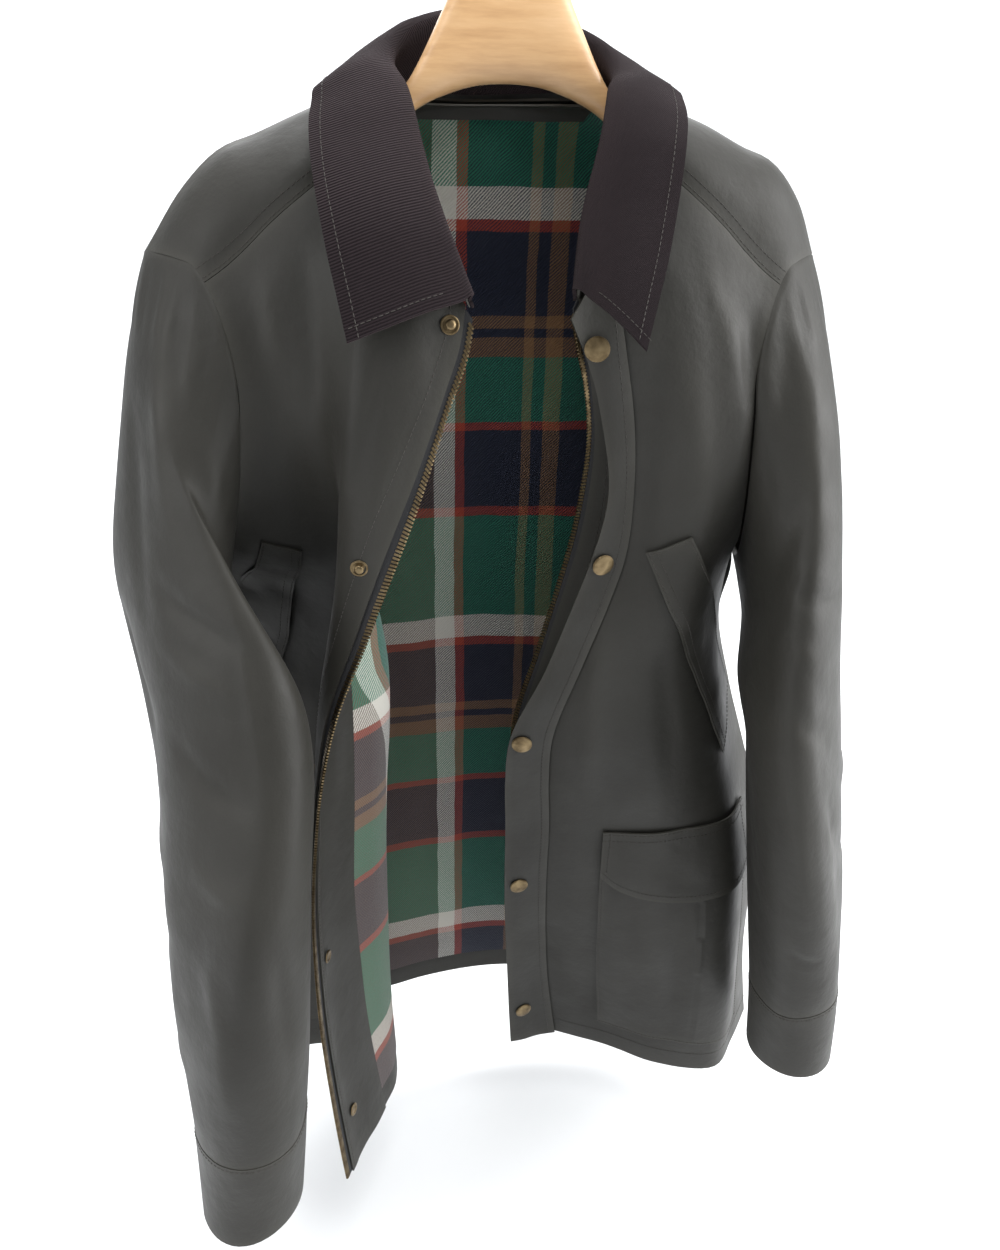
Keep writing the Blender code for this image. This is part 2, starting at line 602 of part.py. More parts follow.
def sleeve_grid(side, seam, seam_normals):
    """Mesh points of a sleeve from its armhole seam to the cuff's end."""
    rows = np.asarray(SLEEVE[side], float)
    turns = np.arange(LOOP) * 2 * math.pi / LOOP
    rings = [seam + seam_normals * (ARMHOLE_STEP * under_arm())[:, None]]
    for x, y, outer, inner, half_width, half_depth, turn, rise, drawn, _ in rows:
        around = turns - math.radians(drawn) * np.sin(turns) * under_arm()
        turn = math.radians(turn) * SIGN[side]
        wide = half_width * np.cos(around) * SIGN[side]
        deep = -half_depth * np.sin(around)
        level = (outer + inner) / 2 + (outer - inner) / 2 * np.cos(around) + rise * np.sin(around)
        plan_x = x + wide * math.cos(turn) + deep * math.sin(turn)
        plan_y = y - wide * math.sin(turn) + deep * math.cos(turn)
        rings.append(np.column_stack([plan_x, plan_y, level]))
    at = np.arange(len(rows) * SLEEVE_RINGS + 1) / SLEEVE_RINGS
    grid = through(rings, at)
    middle = grid.mean(axis=1, keepdims=True)
    crease = np.interp(at, range(len(rings)), np.concatenate([[0.0], rows[:, 9]]))
    wave = np.cos(turns * 3 + 0.6) - 0.6 * np.cos(turns * 5 + at[:, None] * 0.8)
    grid = grid + grid_normals(grid, grid - middle, tube=True) * (crease[:, None] * wave * 0.45)[..., None]
    return grid, grid_normals(grid, grid - middle, tube=True)


def share_normals(panels):
    """Panels that meet at a point get one normal there, so that their edges stay parallel."""
    sums = {}
    for grid, normals in panels:
        for point, normal in zip(grid.reshape(-1, 3), normals.reshape(-1, 3)):
            key = tuple(np.round(point, 2))
            sums[key] = sums.get(key, 0) + normal
    for grid, normals in panels:
        for index in np.ndindex(grid.shape[:2]):
            total = sums[tuple(np.round(grid[index], 2))]
            normals[index] = total / np.linalg.norm(total)


def part_of(panel, rows=slice(None), columns=slice(None)):
    grid, normals = panel
    return grid[rows, columns], normals[rows, columns]


def row_at(panel, column, height):
    """Place down a panel, in rows, where a mesh column is at a height."""
    grid = panel[0]
    j = int(min(math.floor(column), grid.shape[1] - 2))
    line = grid[:, j] + (grid[:, j + 1] - grid[:, j]) * (column - j)
    return float(np.interp(-height, -line[:, 2], range(len(line))))


def on_panel(panel, row, column, offset):
    """Point on the facets of a panel, moved off along its normals."""
    grid, normals = panel
    i = int(min(max(math.floor(row), 0), grid.shape[0] - 2))
    j = int(min(max(math.floor(column), 0), grid.shape[1] - 2))
    down, across = row - i, column - j
    a, b, c, d = (grid[k] + normals[k] * offset for k in ((i, j), (i, j + 1), (i + 1, j + 1), (i + 1, j)))
    if across >= down:
        return a + (b - a) * across + (c - b) * down
    return a + (d - a) * down + (c - d) * across


def bridging(panel, places):
    """How far to raise each point of a grid of places so that its facets pass over the panel's ridges."""
    seats = np.array([[on_panel(panel, *place, 0.0) for place in line] for line in places])
    lift = np.zeros(places.shape[:2])
    shares = np.linspace(0, 1, 5)
    for i, j in np.ndindex(places.shape[0] - 1, places.shape[1] - 1):
        corners = ((i, j), (i, j + 1), (i + 1, j + 1), (i + 1, j))
        a, b, c, d = (seats[k] for k in corners)
        pa, pb, pc, pd = (places[k] for k in corners)
        normal = np.cross(c - a, d - b)
        normal /= np.linalg.norm(normal)
        normal *= np.sign(normal @ panel[1][int(pa[0]), int(pa[1])])
        for down in shares:
            for across in shares:
                if across >= down:
                    flat = a + (b - a) * across + (c - b) * down
                    place = pa + (pb - pa) * across + (pc - pb) * down
                else:
                    flat = a + (d - a) * down + (c - d) * across
                    place = pa + (pd - pa) * down + (pc - pd) * across
                ridge = (on_panel(panel, *place, 0.0) - flat) @ normal
                for corner in corners:
                    lift[corner] = max(lift[corner], ridge)
    return lift


def laid_on(name, panel, places, inner, thickness, finish):
    """A wall that lies on a panel, at a grid of (row, column) places and distances off it."""
    inner = np.asarray(inner, float) + bridging(panel, np.asarray(places))
    outer, under = (
        np.array([[on_panel(panel, *at, off) for at, off in zip(*line)] for line in zip(places, offsets)])
        for offsets in (inner + thickness, inner)
    )
    return wall_between(name, outer, under, finish)


# ---------------------------------------------------------------- collar
def neckline(fronts, yokes, back):
    """Points and normals along the neckline, from the right zip end round to the left one."""
    return [
        np.vstack([
            fronts["right"][k][0, : NECK_COLUMNS + 1],
            yokes["right"][k][YOKE_CORNER - 1:: -1, 0],
            back[k][0, YOKE_COLUMNS + 1: YOKE_COLUMNS + BACK_NECK_COLUMNS],
            yokes["left"][k][:YOKE_CORNER, 0],
            fronts["left"][k][0, NECK_COLUMNS:: -1],
        ])
        for k in (0, 1)
    ]


def collar_grid(seam, normals):
    """Sections of the collar up its stand, over the fold and down the fall, one for each neckline point."""
    rows = np.asarray([row[1:] for row in COLLAR], float)
    spread = through_places(rows[:, 0], rows[:, 1:], np.arange(len(seam)))
    sections = []
    for base, normal, fold, edge in zip(seam, normals, spread[:, :3], spread[:, 3:]):
        stand, fall = base - fold, edge - fold
        height = np.linalg.norm(stand)
        inwards = stand / height + fall / np.linalg.norm(fall)
        inwards /= np.linalg.norm(inwards)
        outwards = normal - inwards * (normal @ inwards)
        outwards /= np.linalg.norm(outwards)
        base = base - stand / height * COLLAR_LIFT + normal * COLLAR_RAISE
        roll = min(COLLAR_ROLL, 0.3 * height)
        middle = fold + inwards * roll + outwards * roll * 0.5
        arc = [
            middle + roll * (outwards * math.sin(angle) - inwards * math.cos(angle))
            for angle in np.radians((-90, -32, 32, 90))
        ]
        swell = outwards * COLLAR_SWELL
        sections.append([
            base, (base + arc[0]) / 2, *arc,
            arc[3] + (edge - arc[3]) * 0.33 + swell, arc[3] + (edge - arc[3]) * 0.67 + swell * 0.8, edge,
        ])
    grid = np.asarray(sections).transpose(1, 0, 2)
    return grid, grid_normals(grid, grid - grid.mean(axis=0, keepdims=True))


# ---------------------------------------------------------------- pieces
def build_body(fronts, yokes, back, sleeves):
    """The shell's panels, its sleeves and their cuffs."""
    half = SHELL_WALL / 2
    seam = CUFF_ROW * SLEEVE_RINGS
    for side in ("left", "right"):
        panel = trim(fronts[side], left=ZIP_SHOWN, right=SEAM_GAP, top=SEAM_GAP)
        wall("front_" + side, panel, half, -half, "waxed_cotton")
        panel = trim(yokes[side], right=SEAM_GAP, top=SEAM_GAP, foot=SEAM_GAP)
        wall("yoke_" + side, panel, half, -half, "waxed_cotton")
        top = (ARMHOLE_GAP[0] + (ARMHOLE_GAP[1] - ARMHOLE_GAP[0]) * under_arm())[:, None]
        panel = trim(part_of(sleeves[side], rows=slice(0, seam + 1)), top=top, foot=SEAM_GAP)
        wall("sleeve_" + side, panel, half, -half, "waxed_cotton", tube=True)
        panel = trim(part_of(sleeves[side], rows=slice(seam, None)), top=SEAM_GAP)
        wall("cuff_" + side, panel, half + CUFF_EXTRA, -half - CUFF_EXTRA, "waxed_cotton", tube=True)
    wall("back", trim(back, left=SEAM_GAP, right=SEAM_GAP, top=SEAM_GAP), half, -half, "waxed_cotton")


def zip_tape(front):
    """A tape that starts under the edge of a front and stands out of it."""
    grid, normals = trim(part_of(front, columns=slice(0, 2)), left=ZIP_SHOWN, top=1.5)
    way = grid[:, 0] - grid[:, 1]
    beyond = grid[:, 0] + way / np.linalg.norm(way, axis=1, keepdims=True) * (ZIP_SHOWN + 1.2)
    return np.concatenate([beyond[:, None], grid], axis=1), normals[:, (0, 0, 1)]


def facing_depths():
    """Outer face of a facing by mesh column: over the zip tape first, then close behind the shell."""
    depths = np.full(FRONT_COLUMNS.index(FACING_END) + 1, -SHELL_WALL / 2 - PLY_GAP)
    depths[:2] -= TAPE_WALL + PLY_GAP
    return depths


def build_inside(fronts, back):
    """Linings, facings and zip tapes, each at its own depth behind the shell."""
    under = -SHELL_WALL / 2 - PLY_GAP
    panel = trim(part_of(back, rows=slice(1, None)), left=SEAM_GAP, right=SEAM_GAP, foot=LINING_HEM)
    wall("lining_back", panel, under, under - LINING_WALL, "plaid_lining")
    neck = slice(YOKE_COLUMNS, YOKE_COLUMNS + BACK_NECK_COLUMNS + 1)
    panel = trim(part_of(back, rows=slice(0, 3), columns=neck), left=NECK_END, right=NECK_END, top=SEAM_GAP)
    deep = under - LINING_WALL - PLY_GAP
    wall("neck_facing", panel, deep, deep - FACING_WALL, "waxed_cotton")
    facing_end = FRONT_COLUMNS.index(FACING_END)
    for side in ("left", "right"):
        wall("zip_tape_" + side, zip_tape(fronts[side]), under, under - TAPE_WALL, "zip_tape")
        panel = part_of(fronts[side], columns=slice(0, facing_end + 1))
        panel = trim(panel, left=ZIP_SHOWN, right=SEAM_GAP, top=SEAM_GAP)
        depth = facing_depths() * np.ones((len(panel[0]), 1))
        wall("facing_" + side, panel, depth, depth - FACING_WALL, "waxed_cotton")
        panel = part_of(fronts[side], columns=slice(facing_end, None))
        panel = trim(panel, left=SEAM_GAP, right=SEAM_GAP, top=SEAM_GAP, foot=LINING_HEM)
        wall("lining_" + side, panel, under, under - LINING_WALL, "plaid_lining")


def flap_surface(front):
    """Middle surface of the storm flap, from its seam on the left front to its free edge."""
    grid, normals = front
    column = FRONT_COLUMNS.index(1)
    seam, before = (grid[:, j] + normals[:, j] * FLAP_LIFT for j in (column, column + 1))
    edge = np.asarray(FLAP_EDGE, float)
    heights = seam[:, 2] + (edge[0, 0] - seam[0, 2]) * ease(1 - (seam[0, 2] - seam[:, 2]) / 120.0)
    free = np.column_stack([through_places(-edge[:, 0], edge[:, 1:], -heights), heights])
    along = (seam - before) / np.linalg.norm(seam - before, axis=1, keepdims=True)
    reach = np.linalg.norm(free - seam, axis=1, keepdims=True)
    surface = np.asarray([
        seam + (free - seam) * step + along * reach * step * (1 - step) ** 2 * 0.8
        - np.array([0, FLAP_SWELL * math.sin(math.pi * step), 0])
        for step in (0.0, 1 / 3, 2 / 3, 1.0)
    ]).transpose(1, 0, 2)
    return surface, grid_normals(surface, np.array([0.0, -1.0, 0.0]))


def build_placket(fronts):
    """Storm flap with its snap caps, and the studs of the other front with their backs."""
    over = SHELL_WALL / 2 + PLY_GAP
    flap = trim(flap_surface(fronts["left"]), top=FLAP_TOP_CUT)
    half = FACING_WALL / 2
    wall("storm_flap", flap, half, -half, "waxed_cotton")
    behind = facing_depths() - FACING_WALL - PLY_GAP
    for number, (cap_height, cap, height, stud) in enumerate(SNAPS, 1):
        row = row_at(flap, cap, cap_height)
        put_snap("snap_cap_%d" % number, flap, row, cap, [half + PLY_GAP], 1, SNAP_CAP)
        row = row_at(fronts["right"], stud, height)
        put_snap("snap_stud_%d" % number, fronts["right"], row, stud, [over], 1, STUD)
        put_snap("snap_back_%d" % number, fronts["right"], row, stud, behind, -1, STUD_BACK)


def put_snap(name, panel, row, column, offsets, way, profile):
    """A round part on a panel, raised until it clears the panel's ridges. Offsets go by mesh column."""
    def at(row, column):
        return on_panel(panel, row, column, float(np.interp(column, range(len(offsets)), offsets)))

    seat = at(row, column)
    beside = at(row, column + 0.1) - seat
    below = at(row + 0.1, column) - seat
    axis = np.cross(beside, below)
    normal = panel[1][int(round(row)), int(round(column))]
    axis *= np.sign(axis @ normal) * way / np.linalg.norm(axis)
    radius = max(ring[0] for ring in profile)
    lift = 0.0
    for down in np.linspace(-0.6, 0.6, SEAT_TESTS):
        for across in np.linspace(-0.9, 0.9, SEAT_TESTS):
            away = at(row + down, column + across) - seat
            if np.linalg.norm(np.cross(axis, away)) < radius:
                lift = max(lift, away @ axis)
    turned(name, seat + axis * lift, axis, profile, "antique_brass", sides=SNAP_SIDES)


def build_pockets(fronts):
    """Welts, bellows pockets and pocket flaps, laid on the fronts."""
    over = SHELL_WALL / 2 + PLY_GAP
    for side in ("left", "right"):
        front = fronts[side]

        def place(column, height):
            mesh_column = float(np.interp(column, FRONT_COLUMNS, range(len(FRONT_COLUMNS))))
            return row_at(front, mesh_column, height), mesh_column

        lines = through(WELT[side], np.linspace(0, len(WELT[side]) - 1, WELT_GRID[0]))
        across = np.linspace(0, 1, WELT_GRID[1])
        places = [[place(*(line[:2] + (line[2:] - line[:2]) * share)) for share in across] for line in lines]
        laid_on("welt_" + side, front, places, over + STAND_OFF, SHELL_WALL, "waxed_cotton")
        columns = POCKET[side]
        swell = np.asarray(POCKET_SWELL)[:, None] * np.ones(len(columns))
        swell[:, PLEAT] -= PLEAT_DEPTH * (np.asarray(POCKET_SWELL) > 3)
        swell[:, (0, -1)] = 0
        places = [[place(column, height) for column in columns] for height in POCKET_BAG]
        laid_on("pocket_" + side, front, places, over + STAND_OFF + swell, SHELL_WALL, "waxed_cotton")
        foot = np.asarray(POCKET_FLAP_FOOT, float)
        flap_start, flap_end = POCKET_FLAP_LIFT
        places, lift = [], []
        for down in (0.0, 0.35, 0.7, 1.0):
            heights = POCKET_FLAP_TOP + (foot - POCKET_FLAP_TOP) * down
            places.append([place(*at) for at in zip(columns, heights)])
            lift.append(np.full(len(columns), over + flap_start + (flap_end - flap_start) * down))
        laid_on("pocket_flap_" + side, front, places, lift, SHELL_WALL, "waxed_cotton")


def build_collar(fronts, yokes, back):
    """The folded corduroy collar and the under collar inside it."""
    panel = collar_grid(*neckline(fronts, yokes, back))
    wall("collar", panel, CORDUROY_WALL + COLLAR_GAP, COLLAR_GAP, "corduroy")
    panel = trim(panel, left=UNDER_INSET, right=UNDER_INSET, foot=UNDER_INSET)
    wall("undercollar", panel, -UNDER_GAP, -UNDER_GAP - UNDERCOLLAR_WALL, "waxed_cotton")


def build_hanger():
    """The bowed wooden hanger with its ferrule and wire hook."""
    rows = np.asarray(HANGER, float)
    rows = np.vstack([rows[:0:-1] * (-1, 1, 1, 1, 1), rows])
    turns = np.arange(HANGER_SIDES) * 2 * math.pi / HANGER_SIDES
    power = 2 / HANGER_ROUND
    round_y = np.sign(np.cos(turns)) * np.abs(np.cos(turns)) ** power
    round_z = np.sign(np.sin(turns)) * np.abs(np.sin(turns)) ** power
    rings = []
    for x, top, bottom, middle, thickness in rows:
        plan_y = middle + thickness / 2 * round_y
        level = (top + bottom) / 2 + (top - bottom) / 2 * round_z
        rings.append(np.column_stack([np.full(len(turns), x), plan_y, level]))
    loft("hanger_body", rings, "beech")
    path = through(HOOK_PATH, np.linspace(0, len(HOOK_PATH) - 1, 2 * len(HOOK_PATH) - 1))
    hook = swept("hanger_hook", path, HOOK_WIRE, "steel")
    collar = turned("ferrule", (0, -4, HANGER[0][1] + 0.35), (0, 0, 1), FERRULE, "steel")
    joined(hook, [collar])


def build_slider(front):
    """Zip slider on the left tape, and its pull tab on a pin."""
    under = -SHELL_WALL / 2 - PLY_GAP - TAPE_WALL / 2
    row = row_at(front, 0, SLIDER_HEIGHT)
    tape = zip_tape(front)
    seat = on_panel(tape, row, 0.15, under)
    beyond = seat - on_panel(tape, row, 0.9, under)
    down = on_panel(tape, row + 0.3, 0.15, under) - seat
    beyond /= np.linalg.norm(beyond)
    off = np.cross(down, beyond)
    off /= np.linalg.norm(off)
    off *= -1 if off[1] > 0 else 1
    down = np.cross(off, beyond)
    down *= -1 if down[2] > 0 else 1
    frame = np.array([beyond, off, down])

    def prism(name, section, cap, start, end):
        points = [seat + np.array([e, n, t]) @ frame for t in (start, end) for e, n in section]
        count = len(section)
        faces = [(k, (k + 1) % count, count + (k + 1) % count, count + k) for k in range(count)]
        faces += cap + [tuple(count + k for k in face) for face in cap]
        return add_mesh(name, points, faces, "antique_brass")

    half = SLIDER_LENGTH / 2
    body = prism("zip_slider", SLIDER_SECTION, [(0, 1, 6, 7), (1, 2, 5, 6), (2, 3, 4, 5)], -half, half)
    pin_e, pin_n, pin_t = HINGE
    reach = PULL_WIDTH / 2 + 0.5
    lugs = []
    for way in (-1, 1):
        edges = sorted((pin_e + way * reach, pin_e + way * (reach + 0.9)))
        section = [(edges[0], 1.4), (edges[1], 1.4), (edges[1], pin_n + 1.3), (edges[0], pin_n + 1.3)]
        lugs.append(prism("lug", section, [(0, 1, 2, 3)], pin_t - 1.5, pin_t + 1.5))
    start = seat + np.array([pin_e - reach - 0.4, pin_n, pin_t]) @ frame
    pin_profile = ((PIN_RADIUS, 0.0), (PIN_RADIUS, 2 * reach + 0.8))
    pin = turned("pin", start, beyond, pin_profile, "antique_brass", sides=12)
    joined(body, lugs + [pin])

    sides = 12
    angles = (np.arange(sides) + 0.5) * 2 * math.pi / sides
    eye = [[(pin_n + r * math.sin(a), pin_t + r * math.cos(a)) for a in angles] for r in EYE_RADII]
    tip = [(n, pin_t + PULL_LENGTH) for n, _ in (eye[1][-1], eye[1][0])]
    section = eye[0] + eye[1] + tip
    points = [
        seat + np.array([pin_e + way * PULL_WIDTH / 2, n, t]) @ frame for way in (-1, 1) for n, t in section
    ]
    count = len(section)
    cap = [(k, (k + 1) % sides, sides + (k + 1) % sides, sides + k) for k in range(sides)]
    cap.append((2 * sides - 1, sides, 2 * sides + 1, 2 * sides))
    faces = cap + [tuple(count + k for k in face) for face in cap]
    faces += [(k, (k + 1) % sides, count + (k + 1) % sides, count + k) for k in range(sides)]
    outline = list(range(sides, 2 * sides)) + [2 * sides, 2 * sides + 1]
    faces += [
        (a, b, count + b, count + a) for a, b in zip(outline, outline[1:] + outline[:1])
    ]
    add_mesh("zip_pull", points, faces, "antique_brass")


def main():
    for old in list(bpy.data.objects):
        bpy.data.objects.remove(old, do_unlink=True)
    fronts = {side: front_grid(side) for side in ("left", "right")}
    yokes = {side: yoke_grid(side) for side in ("left", "right")}
    back = back_grid()
    share_normals([*fronts.values(), *yokes.values(), back])
    sleeves = {
        side: sleeve_grid(side, armhole(side), armhole_normals(side, fronts[side], yokes[side], back))
        for side in ("left", "right")
    }
    build_body(fronts, yokes, back, sleeves)
    build_inside(fronts, back)
    build_placket(fronts)
    build_pockets(fronts)
    build_collar(fronts, yokes, back)
    build_slider(fronts["left"])
    build_hanger()


main()
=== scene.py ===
# %% [markdown]
# # A waxed cotton jacket on its wooden hanger
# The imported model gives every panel, ply and fitting at its real place. This script dresses it: each panel
# becomes a smooth sheet with soft creases, and then come the seams, the zip, the snaps and the finishes.
# Lengths are in metres, +Z is up, the front faces -Y and the wearer's left is +X.

import json
import math

import bmesh
import bpy
import numpy as np
from mathutils import Matrix, Vector, noise
from mathutils.bvhtree import BVHTree


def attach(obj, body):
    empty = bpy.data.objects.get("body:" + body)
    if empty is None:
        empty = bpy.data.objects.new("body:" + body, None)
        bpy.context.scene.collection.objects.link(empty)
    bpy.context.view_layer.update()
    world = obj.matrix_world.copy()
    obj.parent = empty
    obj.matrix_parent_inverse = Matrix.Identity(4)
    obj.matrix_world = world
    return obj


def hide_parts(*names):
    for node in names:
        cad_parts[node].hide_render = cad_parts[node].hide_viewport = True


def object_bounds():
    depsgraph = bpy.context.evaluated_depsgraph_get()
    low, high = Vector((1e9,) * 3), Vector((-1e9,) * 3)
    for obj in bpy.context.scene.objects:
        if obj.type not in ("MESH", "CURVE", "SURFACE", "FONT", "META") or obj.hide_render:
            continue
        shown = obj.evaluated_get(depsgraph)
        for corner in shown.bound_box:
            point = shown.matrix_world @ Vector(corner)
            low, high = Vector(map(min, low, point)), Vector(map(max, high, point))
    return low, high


MM = 0.001
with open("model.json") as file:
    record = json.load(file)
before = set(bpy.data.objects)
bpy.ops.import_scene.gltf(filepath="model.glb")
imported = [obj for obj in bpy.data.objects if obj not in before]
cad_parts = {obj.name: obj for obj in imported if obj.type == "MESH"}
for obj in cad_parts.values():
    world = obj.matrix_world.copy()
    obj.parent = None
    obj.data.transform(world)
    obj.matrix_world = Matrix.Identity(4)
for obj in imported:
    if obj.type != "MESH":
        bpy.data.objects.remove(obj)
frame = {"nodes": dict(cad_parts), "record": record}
CAD_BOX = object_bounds()
print("nodes:", len(frame["nodes"]), "box:", [tuple(round(v, 3) for v in corner) for corner in CAD_BOX])

# %% [markdown]
# ## The camera
# It stands close, a little above the collar and left of the middle, and looks down into the open front. A
# camera looks along its own -Z, so the three columns of its matrix are right, up and backwards.

# %% Camera
EYE = Vector((-0.107, -0.624, -0.175))
YAW, PITCH, ROLL = (math.radians(angle) for angle in (10.0, 26.4, 1.3))
LENS, FILM = 27.07, 36.0

ahead = Vector((math.sin(YAW) * math.cos(PITCH), math.cos(YAW) * math.cos(PITCH), -math.sin(PITCH)))
level = Vector((math.cos(YAW), -math.sin(YAW), 0.0))
right = level * math.cos(ROLL) + level.cross(ahead) * math.sin(ROLL)
camera_data = bpy.data.cameras.new("camera")
camera_data.lens, camera_data.sensor_width = LENS, FILM
camera = bpy.data.objects.new("camera", camera_data)
camera.matrix_world = Matrix((right, right.cross(ahead), -ahead)).transposed().to_4x4()
camera.location = EYE
bpy.context.scene.collection.objects.link(camera)
bpy.context.scene.camera = camera
print("camera at", tuple(EYE))

# %% [markdown]
# ## Reading a panel
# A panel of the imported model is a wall: two layers of points, each a regular grid of rows and columns, with
# a rim between them. To dress a panel, its grid has to be known again. The points could be measured one by
# one, but it is simpler to walk over the triangles: from one edge of the grid, the next corner is always
# the one across that edge.

# %% Walk a layer
def third(faces_at, u, v, avoid):
    """The corner across the edge u-v that isn't one of those to avoid."""
    for face in faces_at[frozenset((u, v))]:
        for corner in face:
            if corner not in (u, v) and corner not in avoid:
                return corner
    return None


def edges_of(layer):
    """The faces on each edge of a layer."""
    faces_at = {}
    for face in layer:
        for k in range(3):
            faces_at.setdefault(frozenset((face[k], face[k - 1])), []).append(face)
    return faces_at


def border_of(faces_at):
    """Neighbours along the border for each border vertex."""
    beside = {}
    for edge, faces in faces_at.items():
        if len(faces) == 1:
            u, v = edge
            beside.setdefault(u, []).append(v)
            beside.setdefault(v, []).append(u)
    return beside


def border_walk(beside, first, second, corners):
    """From one corner along the border to the next, or all round."""
    line = [first, second]
    while line[-1] not in corners:
        ahead_of = [v for v in beside[line[-1]] if v != line[-2]]
        if ahead_of[0] == first:
            break
        line.append(ahead_of[0])
    return line


def walk_sheet(layer, first, second, corners):
    """The rows of an open layer, from its first corner, which is one that a diagonal starts from."""
    faces_at = edges_of(layer)
    beside = border_of(faces_at)
    other = next(v for v in beside[first] if v != second)
    rows = [border_walk(beside, first, second, corners)]
    for start in border_walk(beside, first, other, corners)[1:]:
        row, above = [start], rows[-1]
        for j in range(len(above) - 1):
            avoid = (above[j - 1],) if j else ()
            row.append(third(faces_at, above[j], row[j], avoid))
        rows.append(row)
    return rows


def walk_tube(layer, loop, slant=None):
    """The rows of a layer that closes on itself, from its top loop, and which way its diagonals slant."""
    faces_at = edges_of(layer)
    rows = [loop]
    while True:
        above = rows[-1]
        count = len(above)
        avoid = {v for row in rows[-2:] for v in row}
        below = [third(faces_at, above[j], above[(j + 1) % count], avoid) for j in range(count)]
        if below[0] is None:
            return rows, slant
        if slant is None:
            straight = sum((above[j].co - below[j].co).length for j in range(count))
            slanted = sum((above[(j + 1) % count].co - below[j].co).length for j in range(count))
            slant = int(slanted < straight)
        rows.append([below[(j - slant) % count] for j in range(count)])


# %% [markdown]
# The only edges as short as the cloth is thick are those of the rim. The faces beside them are taken away,
# and what is left falls apart into an outer and an inner layer. Each is walked from the same place, so that
# a row and a column mean the same spot on both.

# %% Read both layers of a wall
MIDDLE = Vector((-0.009, 0.010, -0.45))
MERGE = 1e-6


def merged(node):
    """A node's mesh with its loose triangles joined."""
    work = bmesh.new()
    work.from_mesh(frame["nodes"][node].data)
    bmesh.ops.remove_doubles(work, verts=work.verts, dist=MERGE)
    return work


def parted(faces):
    """Groups of faces that hang together."""
    left, groups = set(faces), []
    while left:
        group, heap = [], [left.pop()]
        while heap:
            face = heap.pop()
            group.append(face)
            beside = {f for edge in face.edges for f in edge.link_faces} & left
            left -= beside
            heap += beside
        groups.append(group)
    return groups


def facing_out(group, middle):
    """How far a group's faces turn away from the middle, by their areas."""
    return sum((face.calc_center_median() - middle).dot(face.normal) * face.calc_area() for face in group)


def top_loop(beside):
    """The upper of a tube's two border loops, from its highest point and towards the front."""
    loops, left = [], set(beside)
    while left:
        start = left.pop()
        loops.append(border_walk(beside, start, beside[start][0], ()))
        left -= set(loops[-1])
    loop = max(loops, key=lambda line: sum(v.co.z for v in line) / len(line))
    top = max(range(len(loop)), key=lambda k: loop[k].co.z)
    loop = loop[top:] + loop[:top]
    return loop[:1] + loop[:0:-1] if loop[1].co.y > loop[-1].co.y else loop


def walk_corners(outer, beside):
    """The four corners of an open layer, and one of them that a diagonal starts from."""
    count = {}
    for face in outer:
        for v in face:
            count[v] = count.get(v, 0) + 1
    corners = {v for v in beside if count[v] <= 2}
    return corners, next(v for v in corners if count[v] == 2)


def read_wall(node, wall, tube=False, rows_by="z", rim=(0.0, 1.15)):
    """A node's outer and inner grids: rows from the top, columns from the opening or from the right."""
    work = merged(node)
    short = [edge for edge in work.edges if rim[0] * wall < edge.calc_length() < rim[1] * wall]
    partner = {}
    for edge in short:
        partner[edge.verts[0]], partner[edge.verts[1]] = edge.verts[1], edge.verts[0]
    layers = parted(set(work.faces) - {face for edge in short for face in edge.link_faces})
    middle = sum((v.co for v in work.verts), Vector()) / len(work.verts) if tube else MIDDLE
    layers.sort(key=lambda group: -facing_out(group, middle))
    outer, inner = ([tuple(face.verts) for face in group] for group in layers[:2])
    beside = border_of(edges_of(outer))
    if tube:
        loop = top_loop(beside)
        rows, slant = walk_tube(outer, loop)
        inner_rows, _ = walk_tube(inner, [partner[v] for v in loop], slant)
    else:
        corners, first = walk_corners(outer, beside)
        second = beside[first][0]
        rows = walk_sheet(outer, first, second, corners)
        inner_rows = walk_sheet(inner, partner[first], partner[second], {partner[v] for v in corners})
    grids = [np.array([[v.co[:] for v in row] for row in part]) for part in (rows, inner_rows)]
    work.free()
    return grids if tube else turned(grids, rows_by, node.endswith("_right"))


def turned(grids, rows_by, mirrored):
    """Both grids with their rows from the top down and their columns from the opening or from the right."""
    outer = grids[0]
    way = 2 if rows_by == "z" else 0
    row_span = abs(outer[0, :, way].mean() - outer[-1, :, way].mean())
    column_span = abs(outer[:, 0, way].mean() - outer[:, -1, way].mean())
    if (row_span < column_span) == (rows_by == "z"):
        grids = [grid.transpose(1, 0, 2) for grid in grids]
    if grids[0][0, :, 2].mean() < grids[0][-1, :, 2].mean():
        grids = [grid[::-1] for grid in grids]
    if (grids[0][:, 0, 0].mean() > grids[0][:, -1, 0].mean()) != mirrored:
        grids = [grid[:, ::-1] for grid in grids]
    return [grid.copy() for grid in grids]


print("the left front is a grid of", read_wall("front_left", 1.5 * MM)[0].shape[:2])

# %% [markdown]
# ## From a coarse grid to smooth cloth
# A smooth curve is laid through the points of each row and column, as a tailor's curve is laid through
# chalk marks, and read again every few millimetres. Both layers are read at the same places, so the cloth
# keeps its thickness and the plies behind it stay behind it.

# %% Smooth a grid
def unit(vectors):
    return vectors / np.linalg.norm(vectors, axis=-1, keepdims=True)


def normals_of(outer, inner):
    """Which way the cloth faces at each point."""
    return unit(outer - inner)


